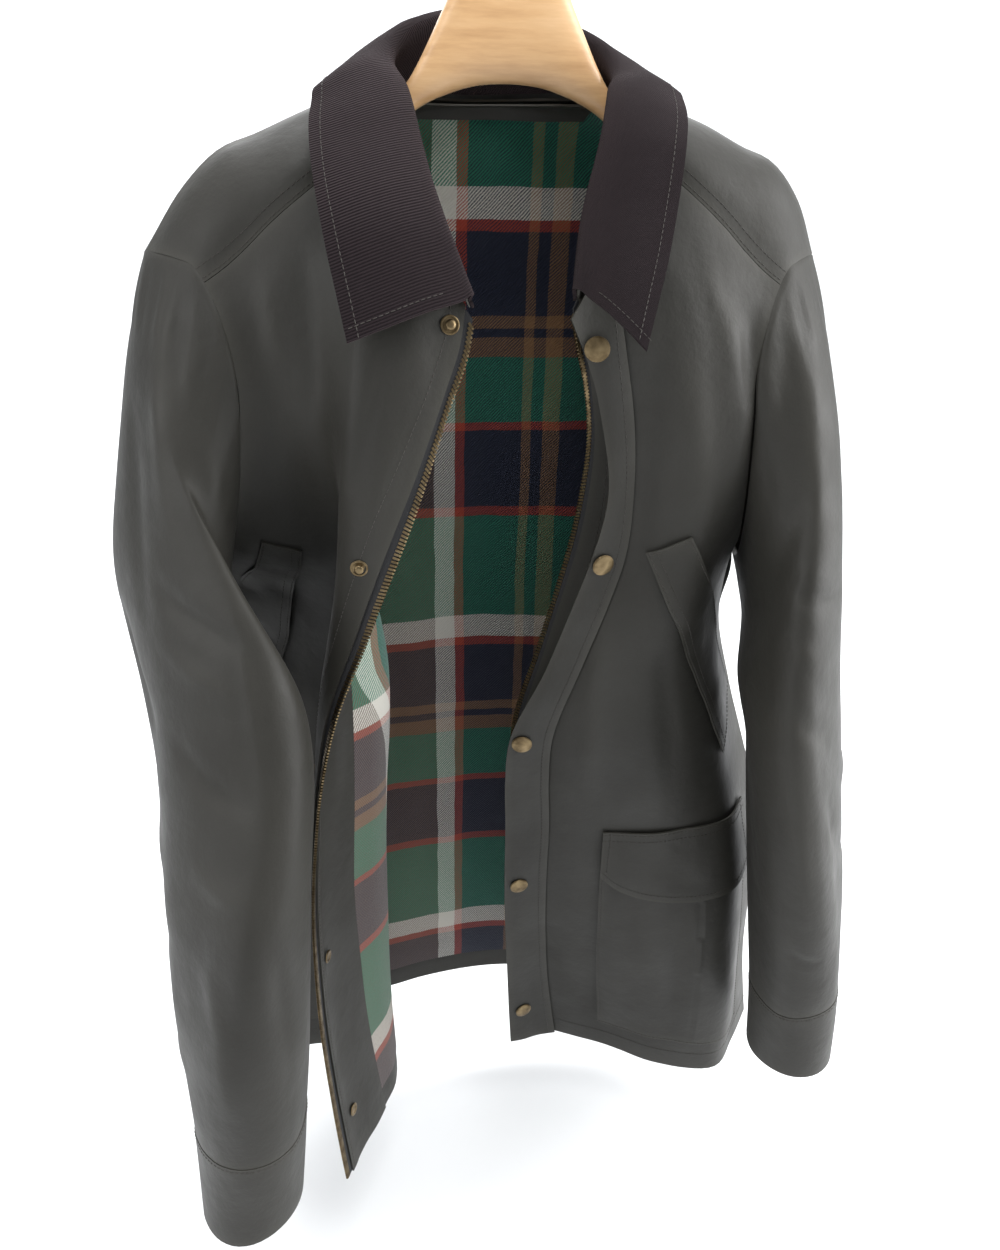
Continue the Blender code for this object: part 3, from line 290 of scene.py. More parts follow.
def spline(places, rows, at):
    """A smooth curve through rows that lie at rising places."""
    spans = np.diff(places)
    steps = np.diff(rows, axis=0) / spans[:, None, None]
    inside = steps[:-1] * spans[1:, None, None] + steps[1:] * spans[:-1, None, None]
    inside /= (spans[1:] + spans[:-1])[:, None, None]
    slopes = np.concatenate([steps[:1], inside, steps[-1:]])
    which = np.clip(np.searchsorted(places, at, side="right") - 1, 0, len(spans) - 1)
    span = spans[which][:, None, None]
    t = (at - places[which])[:, None, None] / span
    return (
        (2 * t**3 - 3 * t**2 + 1) * rows[which] + (t**3 - 2 * t**2 + t) * span * slopes[which]
        + (3 * t**2 - 2 * t**3) * rows[which + 1] + (t**3 - t**2) * span * slopes[which + 1]
    )


def chords(grid):
    """Mean distances along a grid's first direction, summed up."""
    return np.concatenate([[0.0], np.cumsum(np.linalg.norm(np.diff(grid, axis=0), axis=2).mean(axis=1))])


OVERLAP = 3  # columns of a tube that are read again past its join, so that it stays smooth there


def refined(grids, step, tube=False):
    """The same surface at a fine spacing, first down its rows and then across its columns."""
    for joined_up in (False, tube):
        base = len(grids[0])
        if joined_up:
            grids = [np.concatenate([grid[-OVERLAP:], grid, grid[:OVERLAP + 1]]) for grid in grids]
        places = chords(grids[0])
        start, end = (places[OVERLAP], places[-OVERLAP - 1]) if joined_up else (0.0, places[-1])
        count = max(int(round((end - start) / step)), base) + 1
        at = np.linspace(start, end, count)[: -1 if joined_up else None]
        grids = [spline(places, grid, at).transpose(1, 0, 2) for grid in grids]
    return grids


def arcs(grid):
    """Distances over the cloth from the first column and from the first row, for each point."""
    across = np.linalg.norm(np.diff(grid, axis=1), axis=2)
    down = np.linalg.norm(np.diff(grid, axis=0), axis=2)
    return (
        np.concatenate([np.zeros((len(grid), 1)), np.cumsum(across, axis=1)], axis=1),
        np.concatenate([np.zeros((1, grid.shape[1])), np.cumsum(down, axis=0)]),
    )


smooth_front = refined(read_wall("front_left", 1.5 * MM), 5 * MM)[0]
print("smoothed to", smooth_front.shape[:2], "and", round(arcs(smooth_front)[1].max(), 3), "m long")

# %% [markdown]
# ## Creases
# Heavy waxed cotton doesn't flutter. It hangs in a few long, soft folds and holds a crease where an arm has
# bent. Each crease below is a line on a panel, seen from one side, with a half width and a depth: a ridge
# if it is positive, a trough if it is negative. It pushes everything near it the same way, so the plies
# move together.

# %% Creases placed one by one
SEEN_FROM = {
    "front": Vector((0, 1, 0)),
    "back": Vector((0, -1, 0)),
    "left": Vector((-1, 0, 0)),
    "right": Vector((1, 0, 0)),
}
CREASES = (
    # panel, seen from, points (x or y, z) in mm, half width, depth in mm
    ("sleeve_right", "front",
     ((-182, -309), (-179, -346), (-166, -449), (-164, -488), (-161, -514)), 4, 1.3),
    ("sleeve_right", "front", ((-170, -290), (-168, -350), (-160, -420)), 9, -2.2),
    ("sleeve_right", "front", ((-199, -250), (-204, -289), (-207, -335), (-205, -382)), 9, 1.8),
    ("sleeve_right", "front", ((-226, -300), (-228, -370), (-226, -440)), 9, -1.8),
    ("sleeve_right", "front", ((-222, -398), (-206, -410), (-183, -420), (-164, -426)), 7, -2.4),
    ("sleeve_right", "front", ((-219, -433), (-197, -445), (-171, -453)), 6, 1.6),
    ("sleeve_right", "front", ((-214, -486), (-196, -505), (-170, -515)), 7, -2.2),
    ("sleeve_right", "front", ((-209, -556), (-188, -562), (-167, -561)), 7, 1.4),
    ("sleeve_right", "front", ((-203, -603), (-196, -647), (-198, -704)), 7, 1.5),
    ("sleeve_right", "front", ((-163, -576), (-159, -632), (-161, -694)), 7, -1.4),
    ("sleeve_right", "right", ((-40, -430), (-75, -470), (-110, -500)), 9, -2.6),
    ("sleeve_right", "right", ((-60, -520), (-100, -560), (-140, -575)), 8, 2.2),
    ("sleeve_right", "right", ((-70, -570), (-115, -610), (-160, -622)), 8, -2.4),
    ("sleeve_right", "right", ((-110, -660), (-150, -690), (-190, -700)), 7, 1.6),
    ("sleeve_left", "front", ((177, -260), (180, -304), (182, -362), (186, -400)), 8, 1.8),
    ("sleeve_left", "front", ((161, -265), (160, -316), (163, -380)), 9, -2.2),
    ("sleeve_left", "front", ((208, -280), (216, -350), (224, -430)), 9, -1.8),
    ("sleeve_left", "front", ((166, -415), (176, -419), (196, -426), (214, -428)), 7, -2.3),
    ("sleeve_left", "front", ((168, -450), (176, -456), (198, -468)), 6, 1.7),
    ("sleeve_left", "front", ((165, -488), (180, -502), (206, -523)), 7, -2.0),
    ("sleeve_left", "front", ((173, -532), (186, -593), (206, -665)), 8, 1.5),
    ("sleeve_left", "front", ((206, -560), (222, -600), (238, -620)), 7, -1.6),
    ("sleeve_left", "front", ((196, -690), (208, -700), (222, -700)), 4, -1.3),
    ("sleeve_left", "left", ((-20, -430), (-50, -470), (-90, -500)), 9, -2.4),
    ("sleeve_left", "left", ((-40, -520), (-80, -556), (-120, -570)), 8, 2.2),
    ("sleeve_left", "left", ((-50, -590), (-90, -620), (-130, -632)), 8, -2.2),
    ("front_left", "front", ((75, -275), (79, -322), (81, -383), (79, -440)), 9, -2.2),
    ("front_left", "front", ((98, -270), (108, -320), (118, -360), (127, -390)), 9, 1.7),
    ("front_left", "front", ((67, -421), (63, -479), (63, -573), (66, -614)), 9, 1.8),
    ("front_left", "front", ((139, -250), (140, -280), (139, -310)), 8, -2.2),
    ("front_left", "front", ((102, -225), (123, -263), (136, -304)), 8, 1.4),
    ("front_left", "front", ((102, -470), (116, -538), (128, -606)), 10, -1.8),
    ("front_left", "front", ((74, -703), (81, -793), (91, -881)), 8, -1.5),
    ("front_right", "front", ((-78, -265), (-88, -293), (-98, -332), (-103, -348)), 4, -1.8),
    ("front_right", "front", ((-123, -215), (-120, -246), (-118, -288), (-120, -340)), 9, -2.2),
    ("front_right", "front", ((-144, -232), (-141, -262), (-138, -290)), 7, 1.5),
    ("front_right", "front", ((-75, -309), (-87, -343), (-99, -373)), 6, 1.1),
    ("front_right", "front", ((-115, -448), (-122, -535), (-127, -604)), 7, -1.3),
    ("back", "back", ((-120, -260), (-60, -330), (-20, -420)), 14, -2.6),
    ("back", "back", ((110, -250), (60, -330), (26, -440)), 14, -2.4),
    ("back", "back", ((-80, -460), (-76, -600), (-84, -760)), 16, 2.6),
    ("back", "back", ((90, -480), (96, -620), (92, -780)), 16, 2.4),
    ("back", "back", ((-170, -420), (-120, -460), (-60, -470)), 10, -2.0),
    ("back", "back", ((150, -410), (100, -450), (50, -464)), 10, -2.0),
    ("back", "back", ((6, -300), (2, -420), (8, -560)), 12, 1.6),
    ("back", "back", ((-20, -620), (-30, -740), (-24, -900)), 12, -1.8),
)
print("creases by hand:", len(CREASES))

# %% [markdown]
# A crease is drawn on the side that it is seen from, as two or more points, and rays from that side find
# where the points lie on the panel. The panel's own direction there says which way the crease pushes.

# %% Lay the creases on their panels
DEEPER = 1.3
LOOK_FROM = 0.6  # m off the jacket's middle


def tree_of(name):
    mesh = frame["nodes"][name].data
    return BVHTree.FromPolygons([v.co for v in mesh.vertices], [tuple(p.vertices) for p in mesh.polygons])


def laid_creases(table):
    """The creases as lines on their panels, each with its push, half width and depth."""
    trees = {name: tree_of(name) for name in sorted({row[0] for row in table})}
    found = []
    for panel, side, points, half, depth in table:
        look = SEEN_FROM[side]
        hits = []
        for across, height in points:
            start = Vector((across, 0, height)) * MM if look.y else Vector((0, across, height)) * MM
            hit, normal, _, _ = trees[panel].ray_cast(start - look * LOOK_FROM, look)
            if hit is not None:
                hits.append((np.array(hit), np.array(normal)))
        if len(hits) < 2:
            print("a crease misses", panel, points[0])
            continue
        line, push = np.array([hit for hit, _ in hits]), sum(normal for _, normal in hits)
        found.append((line, push / np.linalg.norm(push), half * MM, depth * DEEPER * MM))
    return found


SET_CREASES = laid_creases(CREASES)
print("creases laid:", len(SET_CREASES))

# %% [markdown]
# A sleeve's head is cut fuller than its armhole and eased into the seam, which leaves short puckers under
# it. They come two to each column of the coarse grid, a ridge beside a trough, and their depth wanders so
# that no two match.

# %% Gathers under the sleeve heads
GATHER_HALF, GATHER_DEPTH, GATHER_LENGTH = 0.0032, 0.0010, 3
GATHER_SHARES = (0.15, 0.62)   # places between two columns
GATHER_TROUGH = -0.8           # a trough's depth against a ridge's
HEAD_FROM = 0.004              # gathers are only this far above the armhole's middle


def gather_line(outer, k, share):
    """A short line down from the seam, a share of the way from column k to the next."""
    beside = (k + 1) % outer.shape[1]
    line = outer[:GATHER_LENGTH, k] * (1 - share) + outer[:GATHER_LENGTH, beside] * share
    return np.array([line[0] * 0.9 + line[1] * 0.1, line[1], line[1] * 0.7 + line[2] * 0.3])


def gathers(node, wall):
    """The puckers of one sleeve, as creases."""
    outer, inner = read_wall(node, wall, tube=True)
    ways = normals_of(outer, inner)
    middle = outer[0].mean(axis=0)
    found = []
    for k in range(outer.shape[1]):
        if outer[0, k, 2] < middle[2] + HEAD_FROM:
            continue
        for share in GATHER_SHARES:
            ridge = 1 if (k % 2) == (share > 0.5) else GATHER_TROUGH
            size = GATHER_DEPTH * ridge * (0.7 + 0.3 * math.sin(7.0 * k + share))
            found.append((gather_line(outer, k, share), ways[1, k], GATHER_HALF, size))
    return found


for side in ("left", "right"):
    SET_CREASES += gathers("sleeve_" + side, 1.5 * MM)
print("with the gathers:", len(SET_CREASES))

# %% [markdown]
# Every ply goes through the same field of creases, so plies that lie on each other stay so. A crease is
# deepest along its middle line and dies away to both sides and both ends. A broad, faint noise on top of
# them is the crumple that waxed cloth keeps everywhere. Its seed is set, because without one Blender takes
# the noise from the clock, and the cloth would crumple in another way at each run.

# %% Let the cloth take its creases
CRUMPLE, CRUMPLE_SIZE, CRUMPLE_SEED = 0.0011, (0.040, 0.040, 0.110), 3
CREASE_REACH = 2.2    # half widths, past which a crease is nothing
CREASE_ENDS = 0.7     # under 1, a crease keeps its depth nearly to its ends
noise.seed_set(CRUMPLE_SEED)


def settled(points):
    """Points moved by the creases and the crumple, and how far each one was raised."""
    shape = points.shape
    flat = points.reshape(-1, 3).copy()
    raised = np.zeros(len(flat))
    moved = np.zeros_like(flat)
    for line, push, half, depth in SET_CREASES:
        reach = CREASE_REACH * half
        near = np.all((flat > line.min(axis=0) - reach) & (flat < line.max(axis=0) + reach), axis=1)
        if not near.any():
            continue
        spot = flat[near]
        lengths = np.linalg.norm(np.diff(line, axis=0), axis=1)
        total, best, along = lengths.sum(), np.full(len(spot), 1e9), np.zeros(len(spot))
        for k, (a, b) in enumerate(zip(line[:-1], line[1:])):
            t = np.clip((spot - a) @ (b - a) / lengths[k] ** 2, 0, 1)
            away = np.linalg.norm(spot - a - t[:, None] * (b - a), axis=1)
            closer = away < best
            best = np.where(closer, away, best)
            along = np.where(closer, (lengths[:k].sum() + t * lengths[k]) / total, along)
        size = depth * np.exp(-((best / half) ** 2)) * np.sin(math.pi * np.clip(along, 0, 1)) ** CREASE_ENDS
        raised[near] += size
        moved[near] += size[:, None] * push
    wave = np.array([noise.noise_vector(Vector(p))[:] for p in flat / CRUMPLE_SIZE])
    flat += moved + wave * CRUMPLE
    return flat.reshape(shape), raised.reshape(shape[:2])


# %% [markdown]
# ## Finishes
# Each finish is a Principled shader. Its pattern is made of nodes and read from the piece's own map of the
# cloth, which is in metres, or from Object coordinates. A painted image would do too, but nodes stay sharp
# at any distance and need no files. A few short helpers make and link the nodes, so that each finish below
# reads as a recipe.

# %% Node helpers
def new_finish(name):
    """A new material, its node tree and its shader."""
    material = bpy.data.materials.new(name)
    material.use_nodes = True
    tree = material.node_tree
    return material, tree, tree.nodes["Principled BSDF"]


def add(tree, kind, **values):
    """A new node with its sockets or settings filled in."""
    node = tree.nodes.new(kind)
    for key, value in values.items():
        if key in node.inputs:
            node.inputs[key].default_value = value
        else:
            setattr(node, key, value)
    return node


def joined(tree, source, target):
    tree.links.new(source, target)


def math_node(tree, operation, first, second=None):
    """One step of arithmetic on sockets or numbers."""
    node = tree.nodes.new("ShaderNodeMath")
    node.operation = operation
    for k, value in enumerate((first, second)):
        if value is None:
            continue
        if isinstance(value, (int, float)):
            node.inputs[k].default_value = value
        else:
            tree.links.new(value, node.inputs[k])
    return node.outputs[0]


def mixed(tree, share, first, second):
    """A colour between two, each a socket or a plain colour."""
    node = tree.nodes.new("ShaderNodeMix")
    node.data_type = "RGBA"
    for socket, value in (("Factor", share), ("A", first), ("B", second)):
        target = next(s for s in node.inputs if s.name == socket and s.enabled)
        if isinstance(value, (int, float)):
            target.default_value = value
        elif isinstance(value, tuple):
            target.default_value = (*value, 1.0)
        else:
            tree.links.new(value, target)
    return next(s for s in node.outputs if s.enabled)


def noise_of(tree, vector, scale, detail=3.0, roughness=0.5):
    node = add(tree, "ShaderNodeTexNoise", Scale=scale, Detail=detail, Roughness=roughness)
    tree.links.new(vector, node.inputs["Vector"])
    return node.outputs["Fac"]


def ramp(tree, source, stops, constant=False):
    """Colours or greys by a value, blended or in hard bands."""
    node = tree.nodes.new("ShaderNodeValToRGB")
    node.color_ramp.interpolation = "CONSTANT" if constant else "LINEAR"
    points = node.color_ramp.elements
    while len(points) < len(stops):
        points.new(0.5)
    for point, (place, colour) in zip(points, stops):
        point.position = place
        point.color = (*colour, 1.0) if isinstance(colour, tuple) else (colour, colour, colour, 1.0)
    tree.links.new(source, node.inputs["Fac"])
    return node.outputs["Color"]


def bumped(tree, shader, height, distance, strength=1.0, under=None):
    """Relief on a shader, laid over the relief under it."""
    node = add(tree, "ShaderNodeBump", Strength=strength, Distance=distance)
    tree.links.new(height, node.inputs["Height"])
    if under is not None:
        tree.links.new(under, node.inputs["Normal"])
    tree.links.new(node.outputs["Normal"], shader.inputs["Normal"])
    return node.outputs["Normal"]


# %% [markdown]
# Waxed cotton is dark, dull and a little greasy: a broad soft sheen, faint clouds where the wax is thicker,
# and paler lines along folds and edges where it has rubbed off. The clouds are a slow noise in space, so
# they run over the seams as a dressing of wax does, and the rubbed lines come from the "worn" value that
# each piece carries.

# %% Waxed cotton
WAX_DEEP, WAX_THIN = (0.0145, 0.0137, 0.0112), (0.0225, 0.0213, 0.0176)
WEAVE_SPECK, WAX_RUBBED = (0.036, 0.034, 0.028), (0.060, 0.057, 0.047)


def waxed_cotton():
    material, tree, shader = new_finish("waxed_cotton_cloth")
    place = add(tree, "ShaderNodeTexCoord").outputs["Object"]
    worn = add(tree, "ShaderNodeAttribute", attribute_name="worn").outputs["Fac"]
    clouds = ramp(tree, noise_of(tree, place, 9.0, 4.0), ((0.3, WAX_DEEP), (0.7, WAX_THIN)))
    specks = noise_of(tree, place, 900.0, 2.0)
    weave = mixed(tree, math_node(tree, "MULTIPLY", specks, 0.30), clouds, WEAVE_SPECK)
    joined(tree, mixed(tree, worn, weave, WAX_RUBBED), shader.inputs["Base Color"])
    rough = ramp(tree, noise_of(tree, place, 24.0, 3.0), ((0.3, 0.50), (0.7, 0.64)))
    joined(tree, rough, shader.inputs["Roughness"])
    shader.inputs["Specular IOR Level"].default_value = 0.30
    shader.inputs["Sheen Weight"].default_value = 0.02
    shader.inputs["Sheen Roughness"].default_value = 0.45
    soft = bumped(tree, shader, noise_of(tree, place, 38.0, 4.0, 0.6), 0.0022, 0.5)
    bumped(tree, shader, noise_of(tree, place, 1400.0, 1.0), 0.00008, 0.6, soft)
    return material


# %% [markdown]
# Corduroy is cut pile in ribs, called wales, with bare ground between them. The wales are too fine to
# model, so a sine wave across the cloth's map gives both their height and their colour. The colour is
# painted light and shade: painted shade darkens the ground in the grooves, and the crowns are painted
# lighter, as if lit. A little sheen stands for the pile, which glows where it is seen edge on.

# %% Corduroy
WALE = 0.0016
# ground: painted shade in the grooves between the wales; crown: painted light on their tops; then dust in the
# nap
GROUND_PAINTED_SHADE, CROWN_PAINTED_LIGHT, PILE_DUST = (0.0035, 0.0022, 0.0028), (0.0135, 0.0088, 0.0105), (0.021, 0.0145, 0.0165)


def corduroy():
    material, tree, shader = new_finish("corduroy_cloth")
    cloth = add(tree, "ShaderNodeUVMap", uv_map="cloth").outputs["UV"]
    across = add(tree, "ShaderNodeSeparateXYZ")
    joined(tree, cloth, across.inputs[0])
    wave = math_node(tree, "SINE", math_node(tree, "MULTIPLY", across.outputs["X"], 2 * math.pi / WALE))
    height = math_node(tree, "ADD", math_node(tree, "MULTIPLY", wave, 0.5), 0.5)
    nap = noise_of(tree, cloth, 260.0, 4.0)
    # painted shade in the grooves and painted light on the crowns, laid into the colour by the wales' height
    wales_with_painted_shade = mixed(tree, height, GROUND_PAINTED_SHADE, CROWN_PAINTED_LIGHT)
    dusty = mixed(tree, math_node(tree, "MULTIPLY", nap, 0.35), wales_with_painted_shade, PILE_DUST)
    joined(tree, dusty, shader.inputs["Base Color"])
    shader.inputs["Roughness"].default_value = 0.92
    shader.inputs["Specular IOR Level"].default_value = 0.15
    shader.inputs["Sheen Weight"].default_value = 0.10
    shader.inputs["Sheen Roughness"].default_value = 0.5
    shader.inputs["Sheen Tint"].default_value = (0.55, 0.42, 0.44, 1.0)
    rib = bumped(tree, shader, height, 0.0005, 0.9)
    bumped(tree, shader, nap, 0.0003, 0.4, rib)
    return material


# %% [markdown]
# A plaid is two sets of stripes, one in the warp and one in the weft, crossed in a twill. So the finish is
# two hard colour bands, one by the cloth's width and one by its length, and a fine diagonal wave that shows
# now one yarn and now the other. One full set of stripes is the sett, and it repeats over the whole cloth.

# %% Plaid stripes
SETT = 0.326
WHITE, GREEN, RUST = (0.60, 0.58, 0.52), (0.011, 0.160, 0.092), (0.300, 0.038, 0.020)
NAVY, BROWN, TAN = (0.007, 0.010, 0.025), (0.105, 0.068, 0.050), (0.190, 0.100, 0.045)
BANDS = (
    # down the cloth from the top of the pale band: width in mm, weft yarn
    (20, WHITE), (7, RUST), (56, NAVY), (9, TAN), (7, NAVY), (14, TAN), (48, GREEN), (6, RUST),
    (62, NAVY), (7, RUST), (90, GREEN),
)
STRIPES = (
    # across the cloth from the pale stripe: width in mm, warp yarn
    (16, WHITE), (7, RUST), (44, NAVY), (7, TAN), (10, NAVY), (12, TAN), (60, NAVY), (6, RUST), (50, NAVY),
    (6, RUST), (108, BROWN),
)
print("sett:", sum(width for width, _ in BANDS), "by", sum(width for width, _ in STRIPES), "mm, as drawn")


# %% Plaid lining
TWILL = 0.0024


def sett_stops(rows):
    """Where each stripe starts, as a share of the sett."""
    total = sum(width for width, _ in rows)
    stops, place = [], 0.0
    for width, yarn in rows:
        stops.append((place / total, yarn))
        place += width
    return stops


def plaid():
    material, tree, shader = new_finish("plaid_cloth")
    cloth = add(tree, "ShaderNodeUVMap", uv_map="cloth").outputs["UV"]
    parts = add(tree, "ShaderNodeSeparateXYZ")
    joined(tree, cloth, parts.inputs[0])
    sway = math_node(tree, "SUBTRACT", noise_of(tree, cloth, 30.0, 2.0), 0.5)
    wobble = math_node(tree, "MULTIPLY", sway, 0.003)
    across = math_node(tree, "ADD", parts.outputs["X"], wobble)
    down = math_node(tree, "ADD", parts.outputs["Y"], wobble)
    warp_place = math_node(tree, "FRACT", math_node(tree, "DIVIDE", across, SETT))
    weft_place = math_node(tree, "FRACT", math_node(tree, "DIVIDE", down, SETT))
    warp = ramp(tree, warp_place, sett_stops(STRIPES), constant=True)
    weft = ramp(tree, weft_place, sett_stops(BANDS), constant=True)
    slope = math_node(tree, "DIVIDE", math_node(tree, "ADD", across, down), TWILL)
    twill = math_node(tree, "SINE", math_node(tree, "MULTIPLY", slope, 2 * math.pi))
    fuzz = noise_of(tree, cloth, 900.0, 3.0)
    crossing = math_node(tree, "MULTIPLY", twill, 0.42)
    share = math_node(tree, "ADD", crossing, math_node(tree, "MULTIPLY", fuzz, 1.05))
    joined(tree, mixed(tree, share, warp, weft), shader.inputs["Base Color"])
    shader.inputs["Roughness"].default_value = 0.95
    shader.inputs["Specular IOR Level"].default_value = 0.1
    shader.inputs["Sheen Weight"].default_value = 0.25
    shader.inputs["Sheen Roughness"].default_value = 0.6
    nap = bumped(tree, shader, twill, 0.0003, 0.5)
    bumped(tree, shader, noise_of(tree, cloth, 420.0, 4.0), 0.0006, 0.5, nap)
    return material


# %% [markdown]
# The zip's tape is a dull, tight weave, so a fine noise between two dark greys is enough. The sewing thread
# is twisted and a shade darker than the cloth.

# %% Tape and thread
def dull_tape():
    material, tree, shader = new_finish("zip_tape_weave")
    cloth = add(tree, "ShaderNodeUVMap", uv_map="cloth").outputs["UV"]
    ribs = noise_of(tree, cloth, 1200.0, 2.0)
    weave = mixed(tree, ribs, (0.008, 0.008, 0.009), (0.030, 0.030, 0.032))
    joined(tree, weave, shader.inputs["Base Color"])
    shader.inputs["Roughness"].default_value = 0.85
    bumped(tree, shader, ribs, 0.0002, 0.6)
    return material


def thread():
    material, tree, shader = new_finish("sewing_thread")
    place = add(tree, "ShaderNodeTexCoord").outputs["Object"]
    twist = noise_of(tree, place, 2600.0, 2.0)
    twisted = mixed(tree, twist, (0.014, 0.012, 0.010), (0.045, 0.038, 0.031))
    joined(tree, twisted, shader.inputs["Base Color"])
    shader.inputs["Roughness"].default_value = 0.6
    return material


# %% [markdown]
# Zip, snaps and hook are metal. The brass is chemically darkened before use: brown in its stains, and both
# rougher and duller there, so one noise drives colour and roughness. The steel of the hook stays bright and
# only its polish varies.

# %% Metals
def aged_brass():
    material, tree, shader = new_finish("aged_brass")
    place = add(tree, "ShaderNodeTexCoord").outputs["Object"]
    stain = noise_of(tree, place, 160.0, 3.0)
    colour = ramp(tree, stain, ((0.30, (0.090, 0.064, 0.034)), (0.75, (0.240, 0.180, 0.100))))
    joined(tree, colour, shader.inputs["Base Color"])
    joined(tree, ramp(tree, stain, ((0.3, 0.50), (0.7, 0.30))), shader.inputs["Roughness"])
    shader.inputs["Metallic"].default_value = 1.0
    bumped(tree, shader, noise_of(tree, place, 1500.0, 2.0), 0.00002, 0.4)
    return material


def bright_steel():
    material, tree, shader = new_finish("bright_steel")
    place = add(tree, "ShaderNodeTexCoord").outputs["Object"]
    polish = ramp(tree, noise_of(tree, place, 300.0, 3.0), ((0.3, 0.18), (0.7, 0.30)))
    joined(tree, polish, shader.inputs["Roughness"])
    shader.inputs["Base Color"].default_value = (0.66, 0.66, 0.65, 1.0)
    shader.inputs["Metallic"].default_value = 1.0
    return material


# %% [markdown]
# Beech has a fine, even grain with short dark flecks. The grain is noise that a Mapping node stretches
# along the hanger's arms, the flecks are a finer one in the same stretch, and a thin coat stands for the
# varnish.

# %% Beech
BEECH_DARK, BEECH, BEECH_PALE = (0.42, 0.235, 0.100), (0.60, 0.370, 0.180), (0.70, 0.470, 0.260)
FLECK = (0.36, 0.190, 0.080)


def varnished_beech():
    material, tree, shader = new_finish("varnished_beech")
    place = add(tree, "ShaderNodeTexCoord").outputs["Object"]
    stretch = add(tree, "ShaderNodeMapping", Scale=(9.0, 60.0, 80.0), Rotation=(0.0, 0.12, 0.0))
    joined(tree, place, stretch.inputs["Vector"])
    grain = noise_of(tree, stretch.outputs[0], 1.0, 6.0, 0.6)
    flecks = noise_of(tree, stretch.outputs[0], 9.0, 3.0, 0.7)
    wood = ramp(tree, grain, ((0.30, BEECH_DARK), (0.50, BEECH), (0.72, BEECH_PALE)))
    flecked = mixed(tree, math_node(tree, "MULTIPLY", flecks, 0.25), wood, FLECK)
    joined(tree, flecked, shader.inputs["Base Color"])
    shader.inputs["Roughness"].default_value = 0.38
    shader.inputs["Coat Weight"].default_value = 0.3
    shader.inputs["Coat Roughness"].default_value = 0.25
    bumped(tree, shader, flecks, 0.0001, 0.3)
    return material


# %% One finish for each slot
FINISH = {
    "waxed_cotton": waxed_cotton(),
    "corduroy": corduroy(),
    "plaid_lining": plaid(),
    "zip_tape": dull_tape(),
    "antique_brass": aged_brass(),
    "beech": varnished_beech(),
    "steel": bright_steel(),
}
THREAD = thread()
print("finishes:", sorted(FINISH))

# %% [markdown]
# ## Sewing a piece
# A piece of cloth is a closed shell: its outer layer, its inner layer and the rim. It gets a map of the
# cloth in metres, so that stripes follow the weave, and a "worn" value that is high along its edges and on
# the ridges of its creases.

# %% A shell's mesh
STEP = 0.005          # between the points of a dressed panel
SHARP = 55            # degrees, past which a rim stays sharp
INSIDE_WORN = 0.5     # wear of the inner layer against the outer


def shell_faces(rows, columns, tube):
    """The faces of two layers, the inner one's points after the outer one's, and of the rim between them."""
    cells = columns if tube else columns - 1
    count = rows * columns
    index = np.arange(count).reshape(rows, columns)
    faces = []
    for i in range(rows - 1):
        for j in range(cells):
            k = (j + 1) % columns
            a, b, c, d = index[i, j], index[i, k], index[i + 1, k], index[i + 1, j]
            faces.append((a, d, c, b))
            faces.append((count + a, count + b, count + c, count + d))
    rims = [
        [index[0, j % columns] for j in range(cells + 1)],
        [index[-1, j % columns] for j in range(cells, -1, -1)],
    ]
    if not tube:
        rims[0] += list(index[1:, -1])
        rims[1] += list(index[-2::-1, 0])
    for line in rims:
        faces += [(a, b, count + b, count + a) for a, b in zip(line[:-1], line[1:])]
    return faces


def map_cloth(mesh, maps, tube):
    """The map of the cloth, in metres. On a tube the last column's faces run on past its girth."""
    layer = mesh.uv_layers.new(name="cloth")
    across, down = (np.concatenate([part.ravel(), part.ravel()]) for part in maps)
    corner = np.zeros(len(mesh.loops), np.int32)
    mesh.loops.foreach_get("vertex_index", corner)
    places = np.column_stack([across[corner], down[corner]])
    if tube:
        girth = maps[0].max() + STEP
        for polygon in mesh.polygons:
            loops = slice(polygon.loop_start, polygon.loop_start + 4)
            part = places[loops, 0]
            if part.max() - part.min() > girth / 2:
                places[loops, 0] = np.where(part < girth / 2, part + girth, part)
    layer.data.foreach_set("uv", places.astype(np.float32).ravel())


def shell_mesh(name, outer, inner, tube, maps, worn):
    mesh = bpy.data.meshes.new(name)
    points = np.concatenate([outer.reshape(-1, 3), inner.reshape(-1, 3)])
    mesh.from_pydata(points.tolist(), [], shell_faces(*outer.shape[:2], tube))
    if mesh.polygons[0].normal.dot(Vector(outer[0, 0] - inner[0, 0])) < 0:
        mesh.flip_normals()
    map_cloth(mesh, maps, tube)
    values = mesh.attributes.new("worn", "FLOAT", "POINT")
    wear = np.concatenate([worn.ravel(), worn.ravel() * INSIDE_WORN])
    values.data.foreach_set("value", wear.astype(np.float32))
    mesh.shade_smooth()
    mesh.set_sharp_from_angle(angle=math.radians(SHARP))
    return mesh


# %% [markdown]
# Creases are laid on each ply alone, so after them two plies may touch. Each is then moved off the ply that
# carries it, by as much as it lacks, wherever the nearest point of that ply is too close.

# %% Keep plies apart
CLEAR_REACH, PLY_CLEAR = 0.004, 0.0002
FORMS = {}            # the sewn layers of each panel, for the plies and stitches that lie on it


def sheet_tree(grid):
    rows, columns = grid.shape[:2]
    cells = [
        (i * columns + j, i * columns + j + 1, (i + 1) * columns + j + 1, (i + 1) * columns + j)
        for i in range(rows - 1) for j in range(columns - 1)
    ]
    return BVHTree.FromPolygons(grid.reshape(-1, 3).tolist(), cells)


